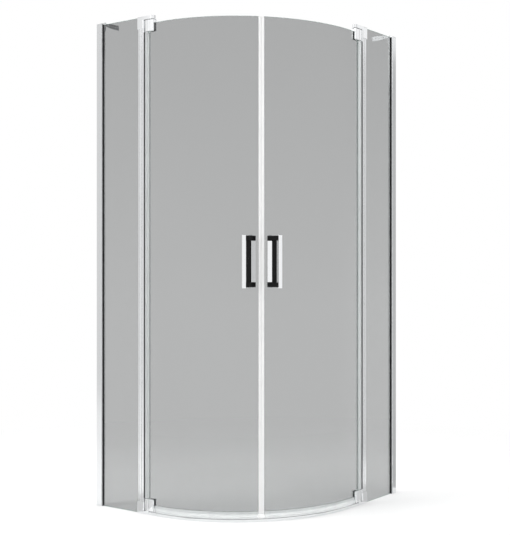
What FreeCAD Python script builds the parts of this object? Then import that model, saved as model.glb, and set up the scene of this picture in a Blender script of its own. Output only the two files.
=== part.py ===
"""Corner shower enclosure with two fixed panels and two curved swing doors.

The left half is drawn first: x runs from the left wall, y = 0 is the middle of
the panel's glass with +y into the shower, and z is the height above the floor.
The right half is the mirror image about the diagonal of the corner.
All sizes are in millimetres.
"""

import FreeCAD
import Part

import math
import os

V = FreeCAD.Vector
UP = V(0, 0, 1)
INWARD = V(0, 1, 0)

# Overall sizes
SIDE = 900.0  # from a wall to the outer face of the opposite panel
CURVE_RADIUS = 550.0  # outer face of the curved doors
PANEL_HEIGHT = 2000.0  # top edge of the fixed panels
GLASS = 6.0  # thickness of every pane
CLOSING_ANGLE = 45.0  # the doors meet on the diagonal

# Fits
SLIP = 0.3  # between pieces that slide together
SNUG = 0.05  # between a soft seal and its glass, and round a screw
TOUCH_GAP = 0.02  # round a driven pin or a threaded end
BLIND_SKIN = 2.0  # metal left beyond a blind hole

# Wall profile, glass channel and their gaskets
PROFILE_WIDTH = 22.0  # across the glass
PROFILE_DEPTH = 28.0  # out from the wall
PROFILE_WALL = 2.0
PROFILE_ROUND = 0.8
CHANNEL_WALL = 1.8
CHANNEL_OVERLAP = 15.0  # how far the glass channel sits in the profile
CHANNEL_SHOW = 1.5  # how far it stands out of the profile
BEAD_SHOW = 2.5  # how far the black gasket stands out of the channel
LINER_WEB = 2.0  # soft lining behind the glass edge
LINER_BACK = 1.0  # soft lining inside the glass
CAP_THICK = 4.0
CAP_ROUND = 1.0
CAP_PLUG = 10.0
WALL_HOLE_RADIUS = 3.0
WALL_HOLE_END = 150.0  # outer wall holes to the ends of the profile
WALL_HOLE_PITCH = 550.0  # outer wall holes to the inner ones

# Channel screws
LOCK_HEAD_RADIUS = 3.5
LOCK_HEAD_HEIGHT = 2.2
LOCK_RADIUS = 1.75
LOCK_END = 100.0  # lowest screw above the floor
LOCK_TOP = 15.0  # top screw below the top of the profile

# Top bracket along the wall
BRACKET_LENGTH = 100.0
BRACKET_HEIGHT = 20.0
BRACKET_THICK = 4.0
BRACKET_RISE = 20.0  # top of the bar above the profile
BRACKET_TAPER = 60.0  # length of the narrowed end
BRACKET_NECK = 4.0  # height of the narrowed end
FOOT_THICK = 3.0
FOOT_WIDTH = 28.0
FOOT_DROP = 24.0  # foot below the top of the profile
BRACKET_HOLE_RADIUS = 2.6
BRACKET_HOLE_SPACING = 40.0
BRACKET_HOLE_END = 20.0  # far hole to the end of the bar

# Hinge post, blocks and gasket
POST_WIDTH = 34.0  # along the panel
POST_DEPTH = 19.0  # across the panel
POST_WALL = 3.0
POST_BITE = 12.0  # how deep the panel sits in the post
JAW_WIDTH = 6.5  # edge of the post that grips the panel
JAW_SET = 2.0  # its face behind the post's face
GROOVE_WIDTH = 2.5  # groove beside the jaw
GROOVE_DEPTH = 4.0
FLUTE_WIDTH = 9.0  # shallow hollow down the post's face
FLUTE_DEPTH = 1.5
BLOCK_WIDTH = 36.0
BLOCK_DEPTH = 23.0
BLOCK_HEIGHT = 48.0
BLOCK_ROUND = 1.5
BLOCK_SHOULDER = 5.0  # rounding of the upright edges beside the pivot
TENON = 30.0  # length of the spigot in the post
GASKET_WIDTH = 3.0  # seat of the gasket's lip on the post's end
LIP_REACH = 6.0  # lip past the post's end
GASKET_GAP = 0.4  # lip of the post gasket to the hinge seal
KNUCKLE_GAP = 0.5  # knuckle to post and block
EAR_RISE = 2.0  # ear above the threshold
EAR_GAP = 1.0  # ear to knuckle
BLOCK_SCREW_HEAD = 4.5
BLOCK_SCREW_RADIUS = 2.5
BLOCK_SCREW_INSET = 7.0  # screw to the wall side of the block
PANEL_HOLE_RADIUS = 4.5

# Hinge pin and bush
PIN_RADIUS = 4.0
PIN_FOOT = 2.0  # solid ear beyond the pin's end
PIN_RUN = 0.05  # running clearance
BUSH_RADIUS = 6.0
BUSH_LENGTH = 21.0
BUSH_FLANGE_RADIUS = 8.5
FLANGE_THICK = 0.8
BORE_SPARE = 1.5  # bore beyond the bush's end

# Door clamps
CLAMP_REACH = 40.0  # pivot to the free end
CLAMP_HEIGHT = 48.0
CLAMP_ROUND = 3.0
CLAMP_FLUTE_WIDTH = 8.0  # hollow in the face beside the knuckle
CLAMP_FLUTE_DEPTH = 1.5
KNUCKLE_ROUND = 2.5
PAD = 2.0  # soft pad between clamp and glass
PAD_INSET = 0.5
PAD_SHORT = 5.0  # pad's end to the clamp's free end
CLAMP_SCREW_HEAD = 5.0
CLAMP_SCREW_RADIUS = 3.0
CLAMP_SCREW_SPACING = 14.0
CLAMP_SCREW_INSET = 14.0  # screws to the free end
DOOR_HOLE_RADIUS = 5.0
FLAT_AFTER_CLAMP = 27.0  # flat glass between clamp and curve
CLAMP_PAST = 14.0  # clamp beyond the door's bottom and top edges
NOTCH_GAP = 1.5  # glass notch round a knuckle
PLATE_GAP = 1.0  # inner plate to the knuckle

# Door seals
HINGE_EDGE = 4.0  # glass edge beyond the pivot line
BULB_GAP = 0.3  # hinge seal inside the knuckle's circle
BULB_WALL = 1.5
BULB_LUMEN = 4.2
SEAL_WALL = 1.35
SEAL_GRIP = 10.0  # bottom seal up the glass
SEAL_WEB = 4.0
SEAL_RUN = 0.6  # wiping lip above the threshold
WIPER_THICK = 1.0
MAGNET_GAP = 0.3  # seal to the closing line
MAGNET_TIP = 5.0
MAGNET_TIP_WIDTH = 12.0
MAGNET_GRIP = 5.5  # seal over the glass
MAGNET_THICK = 3.0
MAGNET_WIDTH = 8.0
MAGNET_INSET = 2.0
EDGE_GAP = 0.2  # glass edge to the seal's web
SEAL_END_GAP = 1.0  # bottom seal to its neighbours

# Threshold strip
THRESHOLD_WIDTH = 18.0
THRESHOLD_HEIGHT = 12.0
THRESHOLD_ROUND = 4.0
THRESHOLD_GAP = 0.7  # strip to the ears

# Handles, set off from the closing line along the curve
HANDLE_OFFSET = 42.0
HANDLE_HEIGHT = 1014.0  # middle of the handle above the floor
HANDLE_SEAT = 0.3  # handle to the curved glass
BASE_WIDTH = 38.0
BASE_TALL = 200.0
BASE_THICK = 5.0
BASE_SHIFT = 1.0  # base centre towards the closing line
ARM_TALL = 18.5
ARM_TOE = 6.0  # height of the arm's low end
ARM_HEEL = 18.0  # foot of the arm on the base
GRIP_WIDTH = 16.0
GRIP_DEPTH = 12.0
GRIP_TALL = 208.0
GRIP_STAND = 24.0  # finger room behind the grip
GRIP_ROUND = 2.0
TRIM_WIDTH = 17.0
TRIM_DEPTH = 3.0  # at its edge towards the closing line
TRIM_RISE = 10.5  # at its edge towards the grip
TRIM_ROUND = 1.0
BOLT_RADIUS = 3.0
BOLT_HEAD_RADIUS = 5.0
BOLT_BITE = 9.0  # thread in the base and arm
INNER_STAND = 24.0
INNER_POST_RADIUS = 7.0

# Sockets of all screws
SOCKET_SHARE = 0.55  # socket size of the head's radius
SCREW_HEAD_HEIGHT = 3.6
COUNTERBORE = 4.0

# Places worked out from the sizes above
FRONT = -GLASS / 2
BACK = GLASS / 2
MID_RADIUS = CURVE_RADIUS - GLASS / 2
CURVE_X = SIDE - CURVE_RADIUS
CURVE_CENTRE = V(CURVE_X, MID_RADIUS, 0)
KNUCKLE_RADIUS = BLOCK_DEPTH / 2
PIVOT = CURVE_X - CLAMP_REACH - FLAT_AFTER_CLAMP
POST_END = PIVOT - KNUCKLE_RADIUS - KNUCKLE_GAP
POST_START = POST_END - POST_WIDTH
BLOCK_START = POST_END - BLOCK_WIDTH
CHANNEL_START = PROFILE_DEPTH - CHANNEL_OVERLAP
CHANNEL_END = PROFILE_DEPTH + CHANNEL_SHOW
BEAD_END = CHANNEL_END + BEAD_SHOW
CHANNEL_HALF = PROFILE_WIDTH / 2 - PROFILE_WALL - SLIP
LINER_HALF = CHANNEL_HALF - CHANNEL_WALL
PANEL_START = CHANNEL_START + CHANNEL_WALL + LINER_WEB
PANEL_END = POST_START + POST_BITE
EAR_HEIGHT = THRESHOLD_HEIGHT + EAR_RISE
CLAMP_BOTTOM = EAR_HEIGHT + EAR_GAP
CLAMP_TOP = CLAMP_BOTTOM + CLAMP_HEIGHT
CLAMP_END = PIVOT + CLAMP_REACH
DOOR_BOTTOM = CLAMP_BOTTOM + CLAMP_PAST
DOOR_TOP = PANEL_HEIGHT - DOOR_BOTTOM
DOOR_EDGE = MAGNET_GAP + MAGNET_TIP + EDGE_GAP
SEAL_START = CLAMP_TOP + NOTCH_GAP
SEAL_END = PANEL_HEIGHT - SEAL_START
PROUD = max(BLOCK_DEPTH, PROFILE_WIDTH, POST_DEPTH) / 2 - BACK
CORNER = (SIDE + PROUD) / 2


def box(x0, x1, y0, y1, z0, z1):
    """Block between two corners."""
    return Part.makeBox(x1 - x0, y1 - y0, z1 - z0, V(x0, y0, z0))


def rounded_box(x0, x1, y0, y1, z0, z1, radius):
    """Block with every edge rounded."""
    block = box(x0, x1, y0, y1, z0, z1)
    return block.makeFillet(radius, block.Edges)


def rounded_bar(x0, x1, y0, y1, z0, z1, radius):
    """Upright bar with its long edges rounded."""
    bar = box(x0, x1, y0, y1, z0, z1)
    return bar.makeFillet(radius, [edge for edge in bar.Edges if edge.tangentAt(0).isParallel(UP, 0.01)])


def pole(x, y, radius, z0, z1):
    """Upright cylinder."""
    return Part.makeCylinder(radius, z1 - z0, V(x, y, z0), UP)


def flute(x, face, width, depth, z0, z1):
    """Upright cylinder that cuts a round hollow into a face at y = face."""
    radius = (width**2 / 4 + depth**2) / (2 * depth)
    return pole(x, face + math.copysign(radius - depth, face), radius, z0, z1)


def drill(x, z, radius, y0, y1):
    """Cylinder across the glass, for holes and shanks."""
    return Part.makeCylinder(radius, y1 - y0, V(x, y0, z), INWARD)


def slab(points, direction):
    """Solid of a closed outline pushed along a direction."""
    outline = Part.makePolygon(points + points[:1])
    return Part.Face(outline).extrude(direction)


def screw(x, z, seat, tip, head_radius, head_height, radius):
    """Socket screw that points outwards, with its head resting on y = seat."""
    top = seat + head_height
    socket_radius = head_radius * SOCKET_SHARE
    corners = []
    for step in range(6):
        turn = math.radians(60 * step)
        corners.append(V(x + socket_radius * math.cos(turn), top, z + socket_radius * math.sin(turn)))
    socket = slab(corners, V(0, -head_height / 2, 0))
    head = drill(x, z, head_radius, seat, top)
    return head.fuse(drill(x, z, radius, tip, seat)).cut(socket)


def upper(shape):
    """The same hinge piece at the top of the panel."""
    return shape.mirror(V(0, 0, PANEL_HEIGHT / 2), UP)


def both_ends(shapes):
    """Pieces at the bottom hinge and their twins at the top hinge, as one group."""
    return Part.makeCompound(shapes + [upper(shape) for shape in shapes])


def angle_before_closing(distance):
    """Angle from the start of the curve to a point this far before the closing line."""
    return CLOSING_ANGLE - math.degrees(distance / MID_RADIUS)


def along_front(section, start, end_distance):
    """Carry a section, drawn at x = 0, along the flat front and round the curve."""
    flat = section.translated(V(start, 0, 0)).extrude(V(CURVE_X - start, 0, 0))
    bent = section.translated(V(CURVE_X, 0, 0))
    bent = bent.revolve(CURVE_CENTRE, UP, angle_before_closing(end_distance))
    return flat.fuse(bent).removeSplitter()


def curved_strip(y0, y1, near, far, z0, z1):
    """Upright strip on the curve, between two distances before the closing line."""
    section = Part.makePlane(y1 - y0, z1 - z0, V(CURVE_X, y0, z0), V(1, 0, 0), INWARD)
    sweep = angle_before_closing(near) - angle_before_closing(far)
    strip = section.revolve(CURVE_CENTRE, UP, sweep)
    return strip.rotated(CURVE_CENTRE, UP, angle_before_closing(far))


def wall_fixing():
    """Wall profile, glass channel, gaskets, cap, lock screws and bracket."""
    half = PROFILE_WIDTH / 2
    inner_half = half - PROFILE_WALL
    lock_x = PROFILE_DEPTH - CHANNEL_OVERLAP / 2
    lock_heights = [LOCK_END, PANEL_HEIGHT / 2, PANEL_HEIGHT - LOCK_TOP]
    lock_holes = [drill(lock_x, z, LOCK_RADIUS + SNUG, LINER_HALF, half) for z in lock_heights]

    profile = rounded_bar(0, PROFILE_DEPTH, -half, half, 0, PANEL_HEIGHT, PROFILE_ROUND)
    profile = profile.cut(box(PROFILE_WALL, PROFILE_DEPTH, -inner_half, inner_half, 0, PANEL_HEIGHT))
    wall_holes = []
    for end in (WALL_HOLE_END, WALL_HOLE_END + WALL_HOLE_PITCH):
        for z in (end, PANEL_HEIGHT - end):
            wall_holes.append(Part.makeCylinder(WALL_HOLE_RADIUS, PROFILE_WALL, V(0, 0, z), V(1, 0, 0)))
    profile = profile.cut(wall_holes + lock_holes)

    channel = rounded_bar(
        CHANNEL_START, CHANNEL_END, -CHANNEL_HALF, CHANNEL_HALF, 0, PANEL_HEIGHT, PROFILE_ROUND
    )
    channel_web = CHANNEL_START + CHANNEL_WALL
    liner_end = BACK + LINER_BACK
    channel = channel.cut(box(channel_web, CHANNEL_END, -LINER_HALF, liner_end, 0, PANEL_HEIGHT))
    channel = channel.cut(lock_holes)

    gasket = box(channel_web, BEAD_END, -LINER_HALF, liner_end, 0, PANEL_HEIGHT)
    gasket = gasket.cut(
        [
            box(PANEL_START, BEAD_END, FRONT, BACK, 0, PANEL_HEIGHT),
            box(CHANNEL_END, BEAD_END, FRONT, liner_end, 0, PANEL_HEIGHT),
        ]
    )

    cap = rounded_box(0, PROFILE_DEPTH, -half, half, PANEL_HEIGHT, PANEL_HEIGHT + CAP_THICK, CAP_ROUND)
    plug_half = inner_half - SLIP
    plug = box(
        PROFILE_WALL + SLIP,
        CHANNEL_START - SLIP,
        -plug_half,
        plug_half,
        PANEL_HEIGHT - CAP_PLUG,
        PANEL_HEIGHT + CAP_THICK / 2,
    )

    locks = []
    for z in lock_heights:
        seat = half + FOOT_THICK if z == lock_heights[-1] else half
        locks.append(
            screw(lock_x, z, seat, LINER_HALF + SNUG, LOCK_HEAD_RADIUS, LOCK_HEAD_HEIGHT, LOCK_RADIUS)
        )

    return {
        "wall_profile": profile,
        "glass_channel": channel,
        "profile_gaskets": gasket,
        "profile_cap": cap.fuse(plug),
        "channel_screws": Part.makeCompound(locks),
        "top_bracket": top_bracket(lock_x, lock_heights[-1]),
    }


def top_bracket(lock_x, lock_z):
    """Flat bar along the wall, with a foot screwed to the profile's flank."""
    start = PROFILE_WIDTH / 2
    end = start + BRACKET_LENGTH
    top = PANEL_HEIGHT + BRACKET_RISE
    bottom = top - BRACKET_HEIGHT
    middle = top - BRACKET_HEIGHT / 2
    neck_top = middle + BRACKET_NECK / 2
    outline = [
        V(0, start, neck_top - BRACKET_NECK),
        V(0, start, neck_top),
        V(0, start + BRACKET_TAPER, top),
        V(0, end, top),
        V(0, end, bottom),
        V(0, start + BRACKET_TAPER, bottom),
    ]
    bar = slab(outline, V(BRACKET_THICK, 0, 0))
    foot = box(0, FOOT_WIDTH, start, start + FOOT_THICK, PANEL_HEIGHT - FOOT_DROP, neck_top)
    holes = [drill(lock_x, lock_z, LOCK_RADIUS + SNUG, start, start + FOOT_THICK)]
    for step in range(2):
        y = end - BRACKET_HOLE_END - step * BRACKET_HOLE_SPACING
        holes.append(Part.makeCylinder(BRACKET_HOLE_RADIUS, BRACKET_THICK, V(0, y, middle), V(1, 0, 0)))
    return bar.fuse(foot).removeSplitter().cut(holes)


def shouldered_block(half):
    """Hinge block with rounded edges, and rounder ones upright beside the pivot."""
    block = box(BLOCK_START, POST_END, -half, half, 0, BLOCK_HEIGHT)
    shoulders = []
    for edge in block.Edges:
        if edge.BoundBox.XMin > BLOCK_START + BLOCK_ROUND and edge.BoundBox.YLength < BLOCK_ROUND:
            shoulders.append(edge)
    block = block.makeFillet(BLOCK_SHOULDER, shoulders)
    rims = []
    for edge in block.Edges:
        if edge.BoundBox.ZLength < BLOCK_ROUND or edge.BoundBox.XMax < BLOCK_START + BLOCK_ROUND:
            rims.append(edge)
    return block.makeFillet(BLOCK_ROUND, rims)


def fixed_side():
    """Fixed panel, hinge post, its gasket, the hinge blocks, pins and screws."""
    half = POST_DEPTH / 2
    block_half = BLOCK_DEPTH / 2
    post_top = PANEL_HEIGHT - BLOCK_HEIGHT
    slot_half = BACK + SLIP / 2
    slot_end = PANEL_END + SLIP
    chamber_start = slot_end + POST_WALL
    chamber_end = POST_END - POST_WALL
    chamber_half = half - POST_WALL
    screw_x = BLOCK_START + BLOCK_SCREW_INSET
    screw_z = BLOCK_HEIGHT / 2

    panel = box(PANEL_START, PANEL_END, FRONT, BACK, 0, PANEL_HEIGHT)
    panel_hole = drill(screw_x, screw_z, PANEL_HOLE_RADIUS, FRONT, BACK)
    panel = panel.cut([panel_hole, upper(panel_hole)])

    jaw_end = POST_START + JAW_WIDTH
    jaw_half = half - JAW_SET
    neck_half = half - GROOVE_DEPTH
    body_start = jaw_end + GROOVE_WIDTH
    body_middle = (body_start + POST_END) / 2
    jaw = rounded_bar(POST_START, jaw_end, -jaw_half, jaw_half, BLOCK_HEIGHT, post_top, BLOCK_ROUND)
    neck = box(jaw_end - BLOCK_ROUND, chamber_start, -neck_half, neck_half, BLOCK_HEIGHT, post_top)
    post = rounded_bar(body_start, POST_END, -half, half, BLOCK_HEIGHT, post_top, BLOCK_ROUND)
    post = post.fuse([jaw, neck]).removeSplitter()
    post = post.cut(
        [
            box(POST_START, slot_end, -slot_half, slot_half, BLOCK_HEIGHT, post_top),
            box(chamber_start, chamber_end, -chamber_half, chamber_half, BLOCK_HEIGHT, post_top),
            flute(body_middle, half, FLUTE_WIDTH, FLUTE_DEPTH, BLOCK_HEIGHT, post_top),
            flute(body_middle, -half, FLUTE_WIDTH, FLUTE_DEPTH, BLOCK_HEIGHT, post_top),
        ]
    )

    lip_inner = half - GASKET_WIDTH
    lip_face = block_half - BULB_GAP
    lip = box(POST_END, POST_END + LIP_REACH, lip_inner, lip_face, SEAL_START, SEAL_END)
    lip = lip.cut(pole(PIVOT, 0, KNUCKLE_RADIUS - BULB_GAP + GASKET_GAP, SEAL_START, SEAL_END))

    block = shouldered_block(block_half)
    ear = box(POST_END - BLOCK_SHOULDER, PIVOT, -block_half, block_half, 0, EAR_HEIGHT)
    ear = ear.fuse(pole(PIVOT, 0, block_half, 0, EAR_HEIGHT)).removeSplitter()
    nose_x = CLAMP_END - block_half
    cover = box(PIVOT, nose_x, -block_half, block_half, 0, EAR_HEIGHT)
    cover = cover.fuse(pole(nose_x, 0, block_half, 0, EAR_HEIGHT)).removeSplitter()
    tenon = box(
        chamber_start + SLIP,
        chamber_end - SLIP,
        -chamber_half + SLIP,
        chamber_half - SLIP,
        BLOCK_HEIGHT / 2,
        BLOCK_HEIGHT + TENON,
    )
    counterbore_y = block_half - COUNTERBORE
    screw_tip = -block_half + BLIND_SKIN
    cuts = [
        box(BLOCK_START, slot_end, -slot_half, slot_half, 0, BLOCK_HEIGHT),
        drill(screw_x, screw_z, BLOCK_SCREW_HEAD + SLIP, counterbore_y, block_half),
        drill(screw_x, screw_z, BLOCK_SCREW_RADIUS + SNUG, screw_tip, counterbore_y),
        pole(PIVOT, 0, PIN_RADIUS + TOUCH_GAP, PIN_FOOT, EAR_HEIGHT),
    ]
    lower_block = block.fuse([ear, tenon]).removeSplitter().cut(cuts)
    upper_block = block.fuse([ear, cover, tenon]).removeSplitter().cut(cuts)
    pin = pole(PIVOT, 0, PIN_RADIUS, PIN_FOOT, CLAMP_BOTTOM + BUSH_LENGTH)
    block_screw = screw(
        screw_x,
        screw_z,
        counterbore_y,
        screw_tip,
        BLOCK_SCREW_HEAD,
        SCREW_HEAD_HEIGHT,
        BLOCK_SCREW_RADIUS,
    )
    return {
        "fixed_panel": panel,
        "hinge_post": post,
        "post_gasket": Part.makeCompound([lip, lip.mirror(V(0, 0, 0), INWARD)]),
        "lower_hinge_block": lower_block,
        "upper_hinge_block": upper(upper_block),
        "hinge_pins": both_ends([pin]),
        "block_screws": both_ends([block_screw]),
    }


def clamp_screw_places():
    """Places of the two screws of the lower clamp, over the glass."""
    middle = (DOOR_BOTTOM + CLAMP_TOP) / 2
    x = CLAMP_END - CLAMP_SCREW_INSET
    return [(x, middle - CLAMP_SCREW_SPACING / 2), (x, middle + CLAMP_SCREW_SPACING / 2)]


def door_pane():
    """Door glass, flat at the hinge and then curved, with notches and holes."""
    section = Part.makePlane(GLASS, DOOR_TOP - DOOR_BOTTOM, V(0, FRONT, DOOR_BOTTOM), V(1, 0, 0), INWARD)
    pane = along_front(section, PIVOT + HINGE_EDGE, DOOR_EDGE)
    notch_end = PIVOT + KNUCKLE_RADIUS + NOTCH_GAP
    notch = box(PIVOT, notch_end, -GLASS, GLASS, 0, CLAMP_TOP + NOTCH_GAP / 2)
    cuts = [notch, upper(notch)]
    for x, z in clamp_screw_places():
        hole = drill(x, z, DOOR_HOLE_RADIUS, -GLASS, GLASS)
        cuts += [hole, upper(hole)]
    for z in handle_bolt_heights():
        cuts.append(on_handle(drill(CURVE_X + BASE_SHIFT, z, DOOR_HOLE_RADIUS, -GLASS, GLASS)))
    return pane.cut(cuts)


def door_seals():
    """Bulb at the hinge, wiping seal at the bottom, magnet seal at the closing edge."""
    radius = KNUCKLE_RADIUS - BULB_GAP
    bulb = pole(PIVOT, 0, radius, SEAL_START, SEAL_END)
    slot_half = BACK + SNUG
    slot = box(
        PIVOT + HINGE_EDGE - EDGE_GAP, PIVOT + radius, -slot_half, slot_half, SEAL_START, SEAL_END
    )
    lumen_x = PIVOT - radius + BULB_WALL + BULB_LUMEN
    bulb = bulb.cut([slot, pole(lumen_x, 0, BULB_LUMEN, SEAL_START, SEAL_END)])

    outer = slot_half + SEAL_WALL
    web_bottom = DOOR_BOTTOM - EDGE_GAP - SEAL_WEB
    seal_top = DOOR_BOTTOM + SEAL_GRIP
    lip_bottom = THRESHOLD_HEIGHT + SEAL_RUN
    outline = [
        V(0, -outer, seal_top),
        V(0, -slot_half, seal_top),
        V(0, -slot_half, DOOR_BOTTOM - EDGE_GAP),
        V(0, slot_half, DOOR_BOTTOM - EDGE_GAP),
        V(0, slot_half, seal_top),
        V(0, outer, seal_top),
        V(0, outer, web_bottom),
        V(0, FRONT + WIPER_THICK * 2, web_bottom),
        V(0, FRONT + WIPER_THICK, lip_bottom),
        V(0, FRONT, lip_bottom),
        V(0, -outer, web_bottom),
    ]
    section = Part.Face(Part.makePolygon(outline + outline[:1]))
    tip_end = MAGNET_GAP + MAGNET_TIP
    grip_end = tip_end + MAGNET_GRIP
    wiper = along_front(section, CLAMP_END + SEAL_END_GAP, grip_end + SEAL_END_GAP)

    tip_half = MAGNET_TIP_WIDTH / 2
    tip = curved_strip(-tip_half, tip_half, MAGNET_GAP, tip_end, DOOR_BOTTOM, DOOR_TOP)
    legs = []
    for y0, y1 in ((-outer, -slot_half), (slot_half, outer)):
        legs.append(curved_strip(y0, y1, tip_end, grip_end, DOOR_BOTTOM, DOOR_TOP))
    magnet_near = MAGNET_GAP + (MAGNET_TIP - MAGNET_THICK) / 2
    magnet_far = magnet_near + MAGNET_THICK
    magnet_half = MAGNET_WIDTH / 2
    pocket = curved_strip(-magnet_half, magnet_half, magnet_near, magnet_far, DOOR_BOTTOM, DOOR_TOP)
    magnet = curved_strip(
        -magnet_half + SNUG,
        magnet_half - SNUG,
        magnet_near + SNUG,
        magnet_far - SNUG,
        DOOR_BOTTOM + MAGNET_INSET,
        DOOR_TOP - MAGNET_INSET,
    )
    return {
        "hinge_seal": bulb,
        "bottom_seal": wiper,
        "magnet_seal": tip.fuse(legs).removeSplitter().cut(pocket),
        "magnet_strip": magnet,
    }


def clamp_plate(start, seat, face):
    """Plate of a clamp, with every edge rounded but those of its seat on the pad."""
    plate = box(start, CLAMP_END, min(seat, face), max(seat, face), CLAMP_BOTTOM, CLAMP_TOP)
    rims = [edge for edge in plate.Edges if abs(edge.CenterOfMass.y - seat) > SNUG]
    return plate.makeFillet(CLAMP_ROUND, rims)


def door_hinges():
    """Clamps with their knuckles, inner plates, pads, screws and bushes."""
    half = BLOCK_DEPTH / 2
    pad_half = BACK + PAD
    bore_end = CLAMP_BOTTOM + BUSH_LENGTH + BORE_SPARE
    blind_end = -half + BLIND_SKIN
    counterbore_y = half - COUNTERBORE

    knuckle = pole(PIVOT, 0, KNUCKLE_RADIUS, CLAMP_BOTTOM, CLAMP_TOP)
    rims = [edge for edge in knuckle.Edges if edge.Closed]
    knuckle = knuckle.makeFillet(KNUCKLE_ROUND, rims)
    plate = clamp_plate(PIVOT - CLAMP_ROUND, -pad_half, -half)
    ledge = box(
        PIVOT,
        CLAMP_END - CLAMP_ROUND,
        -pad_half - CLAMP_ROUND,
        pad_half - TOUCH_GAP,
        CLAMP_BOTTOM + CLAMP_ROUND,
        DOOR_BOTTOM - PAD_INSET,
    )
    clamp = knuckle.fuse([plate, ledge]).removeSplitter()
    hollow_x = PIVOT + KNUCKLE_RADIUS + CLAMP_FLUTE_WIDTH / 4
    clamp = clamp.cut(
        [
            pole(PIVOT, 0, BUSH_RADIUS + TOUCH_GAP, CLAMP_BOTTOM, bore_end),
            flute(hollow_x, -half, CLAMP_FLUTE_WIDTH, CLAMP_FLUTE_DEPTH, CLAMP_BOTTOM, CLAMP_TOP),
        ]
    )
    inner = clamp_plate(PIVOT + KNUCKLE_RADIUS + PLATE_GAP, pad_half, half)

    pad_start = PIVOT + KNUCKLE_RADIUS + NOTCH_GAP + PAD_INSET
    pads = []
    for y0, y1 in ((-pad_half, FRONT), (BACK, pad_half)):
        pads.append(
            box(
                pad_start,
                CLAMP_END - PAD_SHORT,
                y0,
                y1,
                DOOR_BOTTOM + PAD_INSET,
                CLAMP_TOP - PAD_INSET,
            )
        )
    screws = []
    for x, z in clamp_screw_places():
        shank_hole = drill(x, z, CLAMP_SCREW_RADIUS + SNUG, blind_end, half)
        clamp = clamp.cut(shank_hole)
        inner = inner.cut([shank_hole, drill(x, z, CLAMP_SCREW_HEAD + SLIP, counterbore_y, half)])
        pads = [pad.cut(shank_hole) for pad in pads]
        screws.append(
            screw(
                x,
                z,
                counterbore_y,
                blind_end + PAD_INSET,
                CLAMP_SCREW_HEAD,
                SCREW_HEAD_HEIGHT,
                CLAMP_SCREW_RADIUS,
            )
        )
    flange = pole(PIVOT, 0, BUSH_FLANGE_RADIUS, CLAMP_BOTTOM - FLANGE_THICK, CLAMP_BOTTOM)
    bush = pole(PIVOT, 0, BUSH_RADIUS, CLAMP_BOTTOM, CLAMP_BOTTOM + BUSH_LENGTH).fuse(flange)
    bush = bush.cut(
        pole(PIVOT, 0, PIN_RADIUS + PIN_RUN, CLAMP_BOTTOM - FLANGE_THICK, CLAMP_BOTTOM + BUSH_LENGTH)
    )
    return {
        "lower_clamp": clamp,
        "upper_clamp": upper(clamp),
        "clamp_plates": both_ends([inner]),
        "clamp_gaskets": both_ends(pads),
        "clamp_screws": both_ends(screws),
        "hinge_bushes": both_ends([bush]),
    }


def handle_bolt_heights():
    """Heights of the two handle bolts, behind the middle of each arm."""
    reach = (BASE_TALL - ARM_TALL) / 2
    return [HANDLE_HEIGHT - reach, HANDLE_HEIGHT + reach]


def on_handle(shape):
    """Turn a handle piece from the start of the curve to its place near the closing line."""
    return shape.rotated(CURVE_CENTRE, UP, angle_before_closing(HANDLE_OFFSET))


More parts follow.
